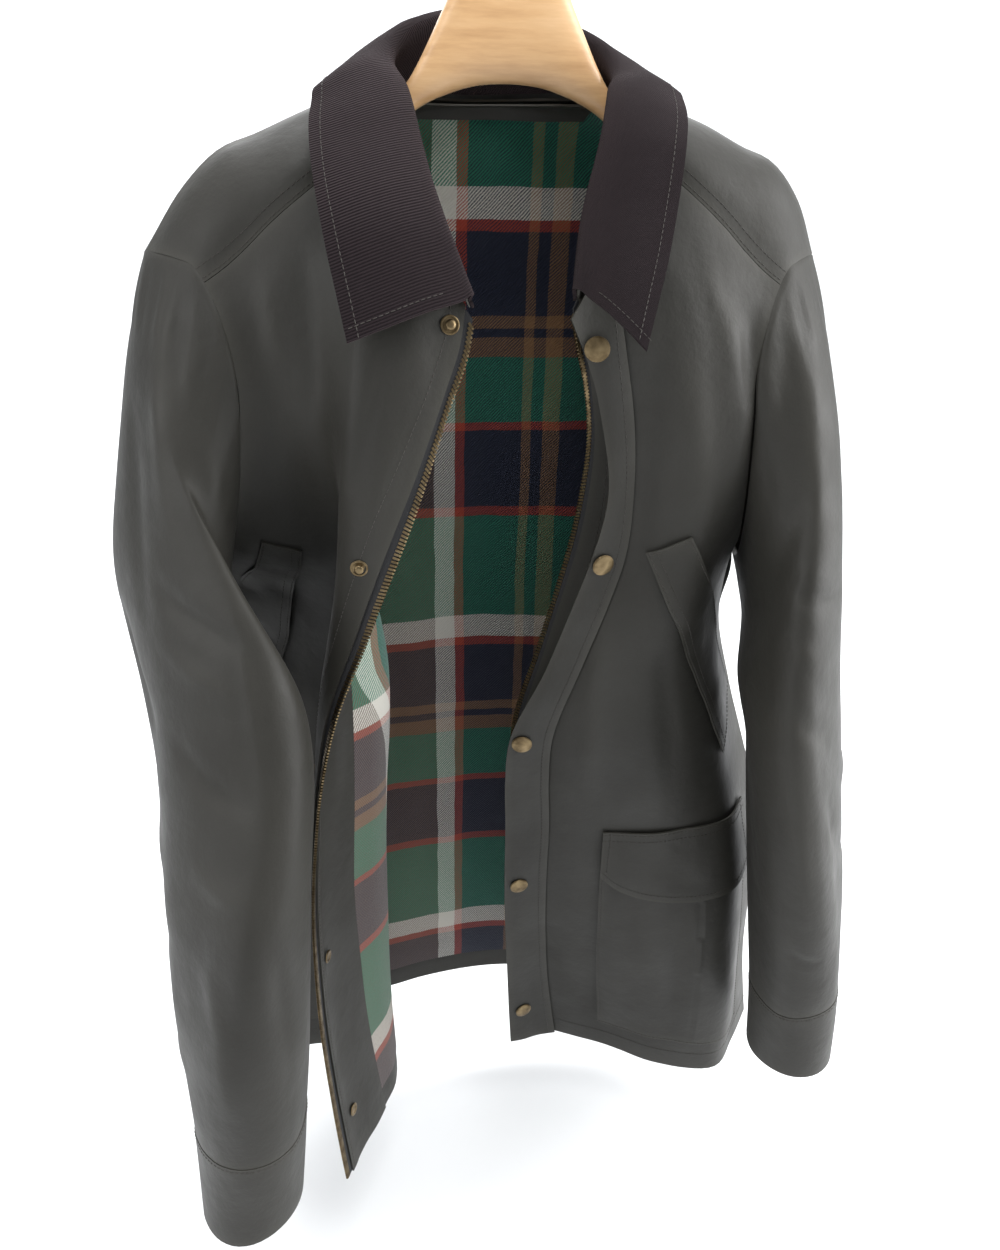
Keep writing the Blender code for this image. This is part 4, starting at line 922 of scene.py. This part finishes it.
def kept_clear(outer, inner, carrier, side):
    """A ply moved off the one that it lies on (side 1) or inside (side -1), where the two come too near."""
    form = FORMS[carrier]
    face, near = (form["outer"], inner) if side > 0 else (form["inner"], outer)
    tree, away = sheet_tree(face), normals_of(outer, inner) * side
    shift = np.zeros(near.shape[:2])
    for k, point in enumerate(near.reshape(-1, 3)):
        hit, normal, _, _ = tree.find_nearest(Vector(point), CLEAR_REACH)
        if hit is None:
            continue
        way = Vector(away.reshape(-1, 3)[k])
        normal = normal if normal.dot(way) > 0 else -normal
        shift.flat[k] = max(0.0, PLY_CLEAR - (Vector(point) - hit).dot(normal))
    if shift.max() > 0:
        kind = "laid ply" if side > 0 else "inner ply"
        print("%s kept clear of %s by up to %.1f mm" % (kind, carrier, shift.max() / MM))
    move = away * shift[..., None]
    return outer + move, inner + move


# %% [markdown]
# One function then makes any panel: it reads the wall, smooths and creases it, sews the shell, gives it its
# finish and states its flat cut. The map of a plaid piece is moved so that the repeat starts where it
# should.

# %% Sew a piece
EDGE_WEAR, EDGE_WORN = 0.004, 0.32      # how far wear reaches in from an edge, and how much there is
RIDGE_FULL, RIDGE_WORN = 0.020, 0.16    # a ridge's height for full wear, and the most that there is
LEAST_CUT = 0.31                        # least share of its rectangle that a cut piece fills


def wear_of(across, down, raised, tube):
    edge = np.minimum(down, down[-1] - down)
    if not tube:
        edge = np.minimum(edge, np.minimum(across, across[:, -1:] - across))
    return EDGE_WORN * np.exp(-edge / EDGE_WEAR) + np.clip(raised / RIDGE_FULL, 0, RIDGE_WORN)


def plaid_map(outer, across, start):
    """The map of a plaid piece, which is nought where its repeat starts."""
    starts = [np.interp(start[0], sorted(row), across[k]) for k, row in enumerate(outer[..., 0])]
    return across - np.array(starts)[:, None], start[1] - outer[..., 2]


def area_of(grid):
    diagonals = grid[1:, 1:] - grid[:-1, :-1], grid[1:, :-1] - grid[:-1, 1:]
    return float((np.linalg.norm(np.cross(*diagonals), axis=2) / 2).sum())


def sew(name, slot, wall, rests_on=(), tube=False, rows_by="z", step=STEP, shape=None,
        rim=(0.0, 1.15), at=None, clear=0):
    """The dressed piece for one node: read, smoothed, creased and sewn, with its flat size printed."""
    outer, inner = refined(read_wall(name, wall * MM, tube, rows_by, rim), step, tube)
    across, down = arcs(outer)
    if shape is not None:
        outer, inner = shape(outer, inner, across, down)
        across, down = arcs(outer)
    outer, raised = settled(outer)
    inner, _ = settled(inner)
    if clear:
        outer, inner = kept_clear(outer, inner, rests_on[0], clear)
    maps = (across, down) if at is None else plaid_map(outer, across, at)
    worn = wear_of(across, down, raised, tube)
    mesh = shell_mesh(name + "_cloth", outer, inner, tube, maps, worn)
    mesh.materials.append(FINISH[slot])
    piece = bpy.data.objects.new(mesh.name, mesh)
    bpy.context.scene.collection.objects.link(piece)
    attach(piece, "jacket")
    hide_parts(name)
    width = float(across[:, -1].max()) + (STEP if tube else 0.0)
    length = float(down[-1].max())
    area = min(max(area_of(outer), LEAST_CUT * width * length), width * length)
    FORMS[name] = {"outer": outer, "inner": inner, "across": across, "down": down, "tube": tube}
    size = (name, width / MM, length / MM, area, len(mesh.polygons))
    print("%s: %.0f x %.0f mm, %.4f m2, %d faces" % size)
    return piece


# %% [markdown]
# ## The shell of the jacket
# The two fronts, the yokes, the back, the sleeves and their cuffs are one wall of waxed cotton each. At the
# hem the cloth is turned up, so its last 20 mm are doubled on the inside. A sleeve goes on below the
# armhole's edge, so its first row is tucked up and in as the seam allowance is.

# %% Shell panels
COTTON_WALL, CUFF_WALL, FACING_WALL, LINING_WALL, TAPE_WALL = 1.5, 2.3, 1.3, 1.1, 0.9
HEM_TURN, HEM_FOLD, HEM_PLY = 0.020, 0.0015, 0.0007
SEAM_ALLOWANCE, SEAM_DEPTH = 0.0045, 0.0021
SLEEVE_STEP, BACK_STEP = 0.0037, 0.006


def hemmed(outer, inner, across, down):
    """The hem turned up on the inside."""
    fold = np.clip((down - (down[-1] - HEM_TURN)) / HEM_FOLD, 0, 1)[..., None]
    return outer, inner - normals_of(outer, inner) * fold * HEM_PLY


def tucked(outer, inner, across, down):
    """A sleeve's seam allowance, tucked up under the edge of the armhole."""
    up, away = unit(outer[0] - outer[1]), normals_of(outer, inner)[0]
    shift = up * SEAM_ALLOWANCE - away * SEAM_DEPTH
    return (np.concatenate([grid[:1] + shift, grid]) for grid in (outer, inner))


for side in ("left", "right"):
    front, yoke, sleeve, cuff = (part + side for part in ("front_", "yoke_", "sleeve_", "cuff_"))
    sew(front, "waxed_cotton", COTTON_WALL, [yoke], shape=hemmed)
    sew(yoke, "waxed_cotton", COTTON_WALL, ["hanger_body"], rows_by="x")
    sew(sleeve, "waxed_cotton", COTTON_WALL, [yoke], tube=True, step=SLEEVE_STEP, shape=tucked)
    sew(cuff, "waxed_cotton", CUFF_WALL, [sleeve], tube=True)
sew("back", "waxed_cotton", COTTON_WALL, ["hanger_body"], rows_by="x", step=BACK_STEP, shape=hemmed)

# %% [markdown]
# ## Inside the shell
# Behind the shell lie the plaid lining, the facings along the zip, the zip's tapes and the narrow facing at
# the back of the neck. The lining is cut a little smaller than the shell at its side seams and round the
# armpits, so that it never shows outside, and the plaid starts at the same place on the two fronts and the
# back.

# %% A lining's side seams
SIDE_EASE, SIDE_REACH = 0.0035, 0.030
ARMPIT, ARMPIT_REACH, ARMPIT_CUT, CUT_REACH = -0.430, 0.050, 0.006, 0.014


def cut_back(grid, edge, end):
    """A grid with one side edge cut back round the armpit."""
    inwards = unit(grid[:, end + 1 if end == 0 else end - 1] - grid[:, end])[:, None]
    near = np.exp(-(((grid[:, end, 2] - ARMPIT) / ARMPIT_REACH) ** 2))[:, None]
    return grid + inwards * (ARMPIT_CUT * near * np.exp(-((edge / CUT_REACH) ** 2)))[..., None]


def eased(outer, inner, across, down, ends=(0, -1)):
    """A lining drawn in at its side seams and cut back at the armpits."""
    shift = np.zeros(across.shape)
    for end in ends:
        edge = across if end == 0 else across[:, -1:] - across
        shift += SIDE_EASE * np.exp(-((edge / SIDE_REACH) ** 2))
        outer, inner = (cut_back(grid, edge, end) for grid in (outer, inner))
    shift = normals_of(outer, inner) * shift[..., None]
    return outer - shift, inner - shift


def eased_side(outer, inner, across, down):
    """A front's lining has one side seam, its last column."""
    return eased(outer, inner, across, down, ends=(-1,))


# %% Linings, facings and tapes
# where the repeat starts: across, at the pale stripe, and up, at the pale band
BACK_START = (-0.0385, -0.192)
FRONT_STARTS = {"left": (0.150, -0.192), "right": (-0.190, -0.192)}
NECK_STEP, NECK_RIM = 0.004, (0.99, 1.01)

for side in ("left", "right"):
    carrier = ["front_" + side]
    sew("lining_" + side, "plaid_lining", LINING_WALL, carrier, at=FRONT_STARTS[side],
        shape=eased_side, clear=-1)
    sew("facing_" + side, "waxed_cotton", FACING_WALL, carrier, clear=-1)
    sew("zip_tape_" + side, "zip_tape", TAPE_WALL, carrier)
sew("lining_back", "plaid_lining", LINING_WALL, ["back"], rows_by="x", step=BACK_STEP,
    at=BACK_START, shape=eased, clear=-1)
sew("neck_facing", "waxed_cotton", FACING_WALL, ["back"], rows_by="x", step=NECK_STEP, rim=NECK_RIM)

# %% [markdown]
# ## On the shell
# On the shell lie the storm flap over the zip, the slanted welts of the hand pockets, and the patch pockets
# with their flaps. A patch pocket has a pleat down its bag, so that it can fill. The pleat is a sharp step
# in both layers: the cloth on one side of it laps the other.

# %% Flap and pockets
PLEAT_SHARE, PLEAT_HALF, PLEAT_DEPTH = 4 / 7, 0.0022, 0.0013
PLEAT_UNDER = -0.45   # depth of the lapped side against the other's
PLEAT_END = 0.012     # over which the pleat dies away at both ends
WELT_STEP, POCKET_STEP, POCKET_FLAP_STEP = 0.004, 0.0025, 0.003


def pleated(outer, inner, across, down):
    """The bag's pleat, at its share of the width."""
    away = across - across[:, -1:] * PLEAT_SHARE
    step = np.exp(-np.abs(away) / PLEAT_HALF) * np.where(away > 0, 1.0, PLEAT_UNDER)
    fade = np.clip(np.minimum(down, down[-1] - down) / PLEAT_END, 0, 1)
    shift = normals_of(outer, inner) * (step * fade * PLEAT_DEPTH)[..., None]
    return outer + shift, inner + shift


sew("storm_flap", "waxed_cotton", FACING_WALL, ["front_left"])
for side in ("left", "right"):
    carrier = ["front_" + side]
    sew("welt_" + side, "waxed_cotton", COTTON_WALL, carrier, step=WELT_STEP, clear=1)
    sew("pocket_" + side, "waxed_cotton", COTTON_WALL, carrier, step=POCKET_STEP,
        shape=pleated, clear=1)
    sew("pocket_flap_" + side, "waxed_cotton", COTTON_WALL, carrier, rows_by="x",
        step=POCKET_FLAP_STEP, clear=1)

# %% [markdown]
# ## The collar
# The collar is corduroy above and the shell's cloth below, cut on one curve, sewn together and folded over.
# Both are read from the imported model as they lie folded, so nothing is bent here.

# %% Collar
CORDUROY_WALL, UNDERCOLLAR_WALL = 1.9, 1.0
COLLAR_STEP, COLLAR_RIM = 0.004, (0.0, 1.05)
COLLAR_SEAT = ["yoke_left", "yoke_right", "back"]

sew("collar", "corduroy", CORDUROY_WALL, COLLAR_SEAT, rows_by="x", step=COLLAR_STEP,
    rim=COLLAR_RIM)
sew("undercollar", "waxed_cotton", UNDERCOLLAR_WALL, ["collar"], rows_by="x", step=STEP)

# %% [markdown]
# ## Snaps
# A snap is four stamped rings: a domed cap on the flap with its socket, and on the other front a flanged
# stud with a ball that the socket grips, riveted through to a plain washer behind. The cap, the stud and
# the washer are each modelled once, standing on the origin: a cylinder whose top is inset and extruded in
# turn, as a press would draw it from a disc. The socket, under the cap, is not modelled.

# %% How each part is stamped
SNAP_SIDES = 32
SNAP_PARTS = {
    # name: radius and height of the blank in mm, then what is done to its top: inwards, upwards
    "snap_cap": (7.5, 0.7, (
        ("inset", 0.5, 0.0), ("extrude", 0.0, 0.45), ("inset", 1.1, 0.10), ("inset", 1.6, 0.30),
        ("inset", 2.0, 0.18),
    )),
    "snap_stud": (5.3, 0.55, (
        ("inset", 0.75, 0.15), ("inset", 0.45, -0.05), ("extrude", 0.0, -0.45), ("inset", 1.75, 0.1),
        ("extrude", 0.0, 1.3), ("inset", -0.55, 0.45), ("inset", 0.25, 0.6), ("inset", 0.8, 0.45),
        ("inset", 0.7, 0.12),
    )),
    "snap_back": (5.1, 0.5, (
        ("inset", 0.9, 0.35), ("inset", 1.3, -0.1), ("extrude", 0.0, -0.35), ("inset", 0.8, 0.1),
    )),
}
NECK_RADIUS = 2.2     # mm, of the stud's neck, which its ball grows from
EDGE_ROUND = 0.00012  # m, on every sharp edge
print("stamping steps:", {name: len(steps) for name, (_, _, steps) in SNAP_PARTS.items()})


# %% Stamp a part
def stamped(name, radius, height, steps):
    """A round stamped part on the origin, its base on z = 0 (mm in, metres out)."""
    bpy.ops.object.select_all(action="DESELECT")
    bpy.ops.mesh.primitive_cylinder_add(
        vertices=SNAP_SIDES, radius=radius * MM, depth=height * MM, location=(0, 0, height * MM / 2))
    part = bpy.context.object
    part.name = part.data.name = name
    bpy.ops.object.transform_apply(location=True)
    bpy.ops.object.mode_set(mode="EDIT")
    bpy.ops.mesh.select_mode(type="FACE")
    bpy.ops.mesh.select_all(action="DESELECT")
    work = bmesh.from_edit_mesh(part.data)
    top = max(work.faces, key=lambda face: (round(face.normal.z, 3), face.calc_center_median().z))
    top.select_set(True)
    bmesh.update_edit_mesh(part.data)
    for kind, inwards, upwards in steps:
        if kind == "inset":
            bpy.ops.mesh.inset(thickness=max(inwards, 0.001) * MM, depth=0.0)
            if inwards < 0:
                grow = 1 - inwards / NECK_RADIUS
                bpy.ops.transform.resize(value=(grow, grow, 1))
            bpy.ops.transform.translate(value=(0, 0, upwards * MM))
        else:
            bpy.ops.mesh.extrude_region_move(TRANSFORM_OT_translate={"value": (0, 0, upwards * MM)})
    bpy.ops.object.mode_set(mode="OBJECT")
    edge = part.modifiers.new("edge", "BEVEL")
    edge.width, edge.segments = EDGE_ROUND, 2
    edge.limit_method, edge.angle_limit = "ANGLE", math.radians(30)
    bpy.ops.object.modifier_apply(modifier=edge.name)
    bpy.ops.object.shade_smooth_by_angle(angle=math.radians(40))
    return part


patterns = {kind: stamped(kind + "_pattern", *recipe) for kind, recipe in SNAP_PARTS.items()}
print("snap faces:", {kind: len(pattern.data.polygons) for kind, pattern in patterns.items()})

# %% [markdown]
# Where a snap goes, and how it leans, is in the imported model. Its node is a short round solid, so of the
# three main directions of its points, the axis is the one whose spread stands apart from the other two. The
# broader end is the base. Each copy is turned to that axis and takes the cloth's creases at its seat.

# %% Seat the snaps
RING_DEPTH = 0.00005  # how near to an end a point is that belongs to it


def oddness(values, k):
    """How far one of three values stands from the other two."""
    others = np.delete(values, k)
    return abs(values[k] - others.mean()) / np.ptp(others).clip(1e-12)


def seat_of(node):
    """Where a round node stands: its base's middle and its axis."""
    work = merged(node)
    points = np.array([v.co[:] for v in work.verts])
    work.free()
    middle = points.mean(axis=0)
    values, ways = np.linalg.eigh(np.cov((points - middle).T))
    axis = ways[:, np.argmax([oddness(values, k) for k in range(3)])]
    heights = (points - middle) @ axis
    reach = np.linalg.norm(points - middle - heights[:, None] * axis, axis=1)
    ends = [reach[np.abs(heights - end) < RING_DEPTH].mean() for end in (heights.min(), heights.max())]
    if ends[0] < ends[1]:
        axis, heights = -axis, -heights
    return Vector(middle + axis * heights.min()), Vector(axis)


def seated_copy(pattern, node, name):
    """A copy with its own mesh in a node's place."""
    base, axis = seat_of(node)
    base, _ = settled(np.array([[base[:]]]))
    copy = pattern.data.copy()
    turn = axis.to_track_quat("Z", "Y").to_matrix().to_4x4()
    copy.transform(Matrix.Translation(Vector(base[0, 0])) @ turn)
    piece = bpy.data.objects.new(name, copy)
    bpy.context.scene.collection.objects.link(piece)
    piece.data.materials.append(FINISH["antique_brass"])
    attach(piece, "jacket")
    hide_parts(node)
    return piece


for kind, pattern in patterns.items():
    for number in range(1, 6):
        seated_copy(pattern, "%s_%d" % (kind, number), "%s_stamped_%d" % (kind, number))
    bpy.data.objects.remove(pattern)
    print(kind, "seated five times")

# %% [markdown]
# ## The hanger
# A contoured hanger is sawn from beech, shaped and sanded round, then varnished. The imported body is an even
# loft, so a merged copy of it only needs Subdivision Surface to lose its facets. Its triangles are made
# quads first, because Subdivision Surface pinches at triangles.

# %% Hanger
FLAT_ENOUGH = math.radians(60)

wood = bpy.data.objects.new("hanger_wood", frame["nodes"]["hanger_body"].data.copy())
bpy.context.scene.collection.objects.link(wood)
bpy.ops.object.select_all(action="DESELECT")
wood.select_set(True)
bpy.context.view_layer.objects.active = wood
bpy.ops.object.mode_set(mode="EDIT")
bpy.ops.mesh.select_all(action="SELECT")
bpy.ops.mesh.remove_doubles(threshold=MERGE)
bpy.ops.mesh.tris_convert_to_quads(face_threshold=FLAT_ENOUGH, shape_threshold=FLAT_ENOUGH)
bpy.ops.object.mode_set(mode="OBJECT")
rounding = wood.modifiers.new("rounding", "SUBSURF")
rounding.levels = rounding.render_levels = 2
bpy.ops.object.modifier_apply(modifier=rounding.name)
bpy.ops.object.shade_smooth()
wood.data.materials.clear()
wood.data.materials.append(FINISH["beech"])
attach(wood, "jacket")
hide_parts("hanger_body")
print("hanger faces:", len(wood.data.polygons))

# %% [markdown]
# ## Zip teeth
# Each brass tooth is clamped round the corded edge of its tape, with a small head that meshes with its
# neighbours. One tooth is modelled from a cube, and its copies step along both tapes, all in one mesh for
# each side. Several hundred objects would be slow to handle, and an array modifier can't follow an edge
# that twists.

# %% Step along a line
def along_line(points, pitch, start):
    """Places every pitch along a line of points, each as a number of points and a share of the next."""
    lengths = np.concatenate([[0.0], np.cumsum(np.linalg.norm(np.diff(points, axis=0), axis=1))])
    return np.interp(np.arange(start, lengths[-1], pitch), lengths, np.arange(len(points)))


def at_share(points, shares):
    """The points at such places."""
    low = np.clip(shares.astype(int), 0, len(points) - 2)
    part = (shares - low)[:, None]
    return points[low] * (1 - part) + points[low + 1] * part


# %% One tooth
TOOTH = (0.0034, 0.0014, 0.0021)           # across the tape, along it, through it
HEAD, HEAD_TAPER = 0.0009, (1, 0.75, 0.62)


def tooth_pattern():
    """The points and faces of one tooth, with its head towards +X."""
    bpy.ops.object.select_all(action="DESELECT")
    bpy.ops.mesh.primitive_cube_add(size=1)
    tooth = bpy.context.object
    bpy.ops.transform.resize(value=TOOTH)
    bpy.ops.object.transform_apply(scale=True)
    bpy.ops.object.mode_set(mode="EDIT")
    bpy.ops.mesh.select_mode(type="FACE")
    bpy.ops.mesh.select_all(action="DESELECT")
    work = bmesh.from_edit_mesh(tooth.data)
    max(work.faces, key=lambda face: face.normal.x).select_set(True)
    bmesh.update_edit_mesh(tooth.data)
    bpy.ops.mesh.extrude_region_move(TRANSFORM_OT_translate={"value": (HEAD, 0, 0)})
    bpy.ops.transform.resize(value=HEAD_TAPER)
    bpy.ops.object.mode_set(mode="OBJECT")
    points = np.array([v.co[:] for v in tooth.data.vertices])
    faces = [tuple(p.vertices) for p in tooth.data.polygons]
    bpy.data.objects.remove(tooth)
    return points, faces


tooth_points, tooth_faces = tooth_pattern()
print("one tooth:", len(tooth_points), "points,", len(tooth_faces), "faces")


# %% Teeth on both tapes
TOOTH_PITCH, FIRST_TOOTH = 0.0024, 0.004
TOOTH_GRIP = 0.25     # share of a tooth that reaches in over the tape


def many(name, points, faces, places, frames, material):
    """One mesh of copies: each at a place, turned to its three unit directions."""
    count = len(points)
    spread = np.einsum("pk,nkc->npc", points, frames) + places[:, None]
    mesh = bpy.data.meshes.new(name)
    mesh.from_pydata(spread.reshape(-1, 3).tolist(), [], [
        tuple(n * count + v for v in face) for n in range(len(places)) for face in faces])
    piece = bpy.data.objects.new(name, mesh)
    bpy.context.scene.collection.objects.link(piece)
    mesh.materials.append(material)
    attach(piece, "jacket")
    print("%s: %d copies" % (name, len(places)))
    return piece


for side in ("left", "right"):
    tape = FORMS["zip_tape_" + side]
    middle = (tape["outer"] + tape["inner"]) / 2
    edge, beside = middle[:, 0], middle[:, 2]
    shares = along_line(edge, TOOTH_PITCH, FIRST_TOOTH)
    places = at_share(edge, shares)
    out = unit(places - at_share(beside, shares))
    lead = unit(np.gradient(places, axis=0))
    off = unit(np.cross(out, lead))
    frames = np.stack([out, np.cross(off, out), off], axis=1)
    seats = places - out * TOOTH[0] * TOOTH_GRIP
    many("zip_teeth_" + side, tooth_points, tooth_faces, seats, frames, FINISH["antique_brass"])

# %% [markdown]
# ## Topstitching
# Strong thread, three stitches to the centimetre. A row is a line on a panel at an even distance from its
# edge, so it follows every crease. Each stitch is a short bar, thin where the needle pulls it down at its
# ends and proud in the middle. The rows could be bump in the cloth's finish, but real bars catch the light
# at the seams' edges.

# %% Find a line of stitching
def share_at(measure, inset):
    """The place in a rising measure that is inset mm from its start, or from its end if negative."""
    if inset > 0:
        return np.interp(inset * MM, measure, np.arange(len(measure)))
    from_end = (measure[-1] - measure)[::-1]
    return len(measure) - 1 - np.interp(-inset * MM, from_end, np.arange(len(measure)))


def find_line(panel, row=None, column=None, side=1, span=(0.0, 1.0)):
    """Points and normals of a line across a panel (row) or down it (column), in mm from its edge."""
    form = FORMS[panel]
    face = form["outer"] if side > 0 else form["inner"]
    normal = normals_of(form["outer"], form["inner"]) * side
    measure, inset = form["across"], column
    crossed = list(range(len(face)))
    if column is None:
        face, normal = face.transpose(1, 0, 2), normal.transpose(1, 0, 2)
        measure, inset = form["down"].T, row
        crossed = list(range(len(face))) + ([0] if form["tube"] else [])
    shares = [share_at(measure[k], inset) for k in crossed]
    points = np.array([at_share(face[k], np.array([share]))[0] for k, share in zip(crossed, shares)])
    ways = np.array([normal[k, int(round(share))] for k, share in zip(crossed, shares)])
    first, last = (int(round(share * (len(points) - 1))) for share in span)
    return points[first:last + 1], ways[first:last + 1]


# %% One stitch
STITCH, STITCH_PITCH, THREAD_HALF = 0.0026, 0.0034, 0.00026
STITCH_RINGS = (
    # along the stitch as a share of it, height in m, thickness as a share
    (-0.5, -0.00010, 0.55), (-0.3, 0.00012, 1.0), (0.3, 0.00012, 1.0), (0.5, -0.00010, 0.55),
)


def stitch_pattern():
    """A bar of four square rings, closed at both ends."""
    around = ((-1, 0), (0, -1), (1, 0), (0, 1))
    points = [
        (share * STITCH, y * THREAD_HALF * size, lift + z * THREAD_HALF * size)
        for share, lift, size in STITCH_RINGS for y, z in around
    ]
    sides = len(around)
    last = sides * (len(STITCH_RINGS) - 1)
    faces = [tuple(range(sides))[::-1], tuple(range(last, last + sides))]
    for start in range(0, last, sides):
        for k in range(sides):
            a, b = start + k, start + (k + 1) % sides
            faces.append((a, b, b + sides, a + sides))
    return np.array(points), faces


def stitches(panel, **where):
    """The places of a row's stitches and their three directions."""
    points, ways = find_line(panel, **where)
    shares = along_line(points, STITCH_PITCH, STITCH_PITCH / 2)
    places, normal = at_share(points, shares), unit(at_share(ways, shares))
    lead = unit(np.gradient(places, axis=0))
    beside = unit(np.cross(normal, lead))
    return places, np.stack([lead, beside, np.cross(lead, beside)], axis=1)


stitch_points, stitch_faces = stitch_pattern()
print("one stitch:", len(stitch_faces), "faces")

# %% Rows of stitching
SIDE_ROWS = (
    # piece of each side, where its rows run: mm from an edge, from the far one if negative
    ("yoke", {"row": -2.0}), ("yoke", {"row": -8.0}),
    ("front", {"row": -20.0}),
    ("cuff", {"row": 2.5}),
    ("facing", {"column": -3.0, "side": -1}),
    ("welt", {"column": 2.0}), ("welt", {"column": 7.5}), ("welt", {"column": -2.0}),
    ("welt", {"row": 2.0}), ("welt", {"row": -2.0}),
    ("pocket", {"column": 2.0}), ("pocket_flap", {"column": 6.0}),
    ("pocket", {"column": -2.0}), ("pocket_flap", {"column": -6.0}),
    ("pocket", {"row": -2.0}),
    ("pocket_flap", {"row": 2.0}), ("pocket_flap", {"row": 8.0}), ("pocket_flap", {"row": -6.0}),
)
OTHER_ROWS = (
    ("front_right", {"column": 13.0}),
    ("front_left", {"column": 12.0}), ("front_left", {"column": 21.0}),
    ("storm_flap", {"column": -6.0}),
    ("back", {"row": -20.0}),
    ("collar", {"row": -6.5}),
    ("collar", {"column": 6.5, "span": (0.5, 1.0)}), ("collar", {"column": -6.5, "span": (0.5, 1.0)}),
)

rows = [("%s_%s" % (piece, side), where) for side in ("left", "right") for piece, where in SIDE_ROWS]
rows = [stitches(panel, **where) for panel, where in rows + list(OTHER_ROWS)]
print("rows of stitching:", len(rows))
places, frames = (np.concatenate(part) for part in zip(*rows))
many("topstitching", stitch_points, stitch_faces, places, frames, THREAD)

# %% [markdown]
# ## Hard pieces that stay
# The slider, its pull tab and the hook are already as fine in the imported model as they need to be. They
# keep their meshes, and only their material is changed for the finish of their slot.

# %% Finish the hard pieces
for name, node in frame["nodes"].items():
    if not node.hide_render:
        slot = next(row["material_slot"] for row in frame["record"]["subparts"] if row["node"] == name)
        node.data.materials.clear()
        node.data.materials.append(FINISH[slot])
        print(name, "is finished in", slot)

# %% [markdown]
# ## The stage
# The jacket hangs over a pale floor that curves up into a wall, a cove, so that no line crosses the
# picture.

# %% Cove
FLOOR = CAD_BOX[0].z - 0.10
FLOOR_FRONT, WALL_Y, WALL_TOP, HALF_WIDTH = -6.0, 3.6, 6.0, 8.0
BEND, BEND_STEPS = 1.2, 17

turns = np.linspace(0, math.pi / 2, BEND_STEPS)
bend = [(WALL_Y - BEND + BEND * math.sin(a), FLOOR + BEND - BEND * math.cos(a)) for a in turns]
profile = [(FLOOR_FRONT, FLOOR)] + bend + [(WALL_Y, WALL_TOP)]
cove = bpy.data.meshes.new("stage")
cove.from_pydata([(x, y, z) for y, z in profile for x in (-HALF_WIDTH, HALF_WIDTH)], [],
                 [(2 * k, 2 * k + 1, 2 * k + 3, 2 * k + 2) for k in range(len(profile) - 1)])
cove.shade_smooth()
stage = bpy.data.objects.new("stage", cove)
bpy.context.scene.collection.objects.link(stage)
pale, _, pale_shader = new_finish("pale_stage")
pale_shader.inputs["Base Color"].default_value = (0.88, 0.89, 0.90, 1.0)
pale_shader.inputs["Roughness"].default_value = 0.8
cove.materials.append(pale)
print("floor at", round(FLOOR, 3))

# %% [markdown]
# ## Light
# Soft light from large lamps, as in a bright room: one overhead, one at each side, a thin one along the
# left edge, and two behind, for the rim of the collar and for the wall. The world's own light fills the
# shadows. The colours are shown as they are, without a film curve.

# %% Lamps
LAMPS = (
    # name, place, aimed at, size, power in watts
    ("overhead", (0.0, -0.35, 1.3), (0.0, 0.0, -0.4), (1.5, 1.1), 32.0),
    ("side_right", (-1.7, -0.8, 0.3), (0.0, 0.0, -0.5), (1.2, 1.6), 22.0),
    ("side_left", (1.9, -0.9, 0.1), (0.1, 0.0, -0.5), (1.4, 1.8), 38.0),
    ("edge_left", (1.5, -0.1, 0.0), (0.2, 0.0, -0.4), (0.8, 1.8), 22.0),
    ("behind", (0.2, 1.7, 0.9), (0.0, 0.0, -0.5), (2.0, 1.4), 16.0),
    ("wall_wash", (0.0, 1.6, 2.6), (0.0, 3.4, -0.6), (5.0, 0.8), 150.0),
)
DAYLIGHT, DAYLIGHT_POWER = (0.93, 0.96, 1.0, 1.0), 0.42


def area_light(name, place, aim, size, power):
    data = bpy.data.lights.new(name, "AREA")
    data.shape = "RECTANGLE"
    data.size, data.size_y = size
    data.energy = power
    lamp = bpy.data.objects.new(name, data)
    lamp.location = place
    lamp.rotation_euler = (Vector(aim) - Vector(place)).to_track_quat("-Z", "Y").to_euler()
    bpy.context.scene.collection.objects.link(lamp)


for lamp_row in LAMPS:
    area_light(*lamp_row)
world = bpy.data.worlds.new("studio")
world.use_nodes = True
sky = world.node_tree.nodes["Background"]
sky.inputs["Color"].default_value = DAYLIGHT
sky.inputs["Strength"].default_value = DAYLIGHT_POWER
bpy.context.scene.world = world
bpy.context.scene.view_settings.view_transform = "Standard"
print("lamps:", len(LAMPS))
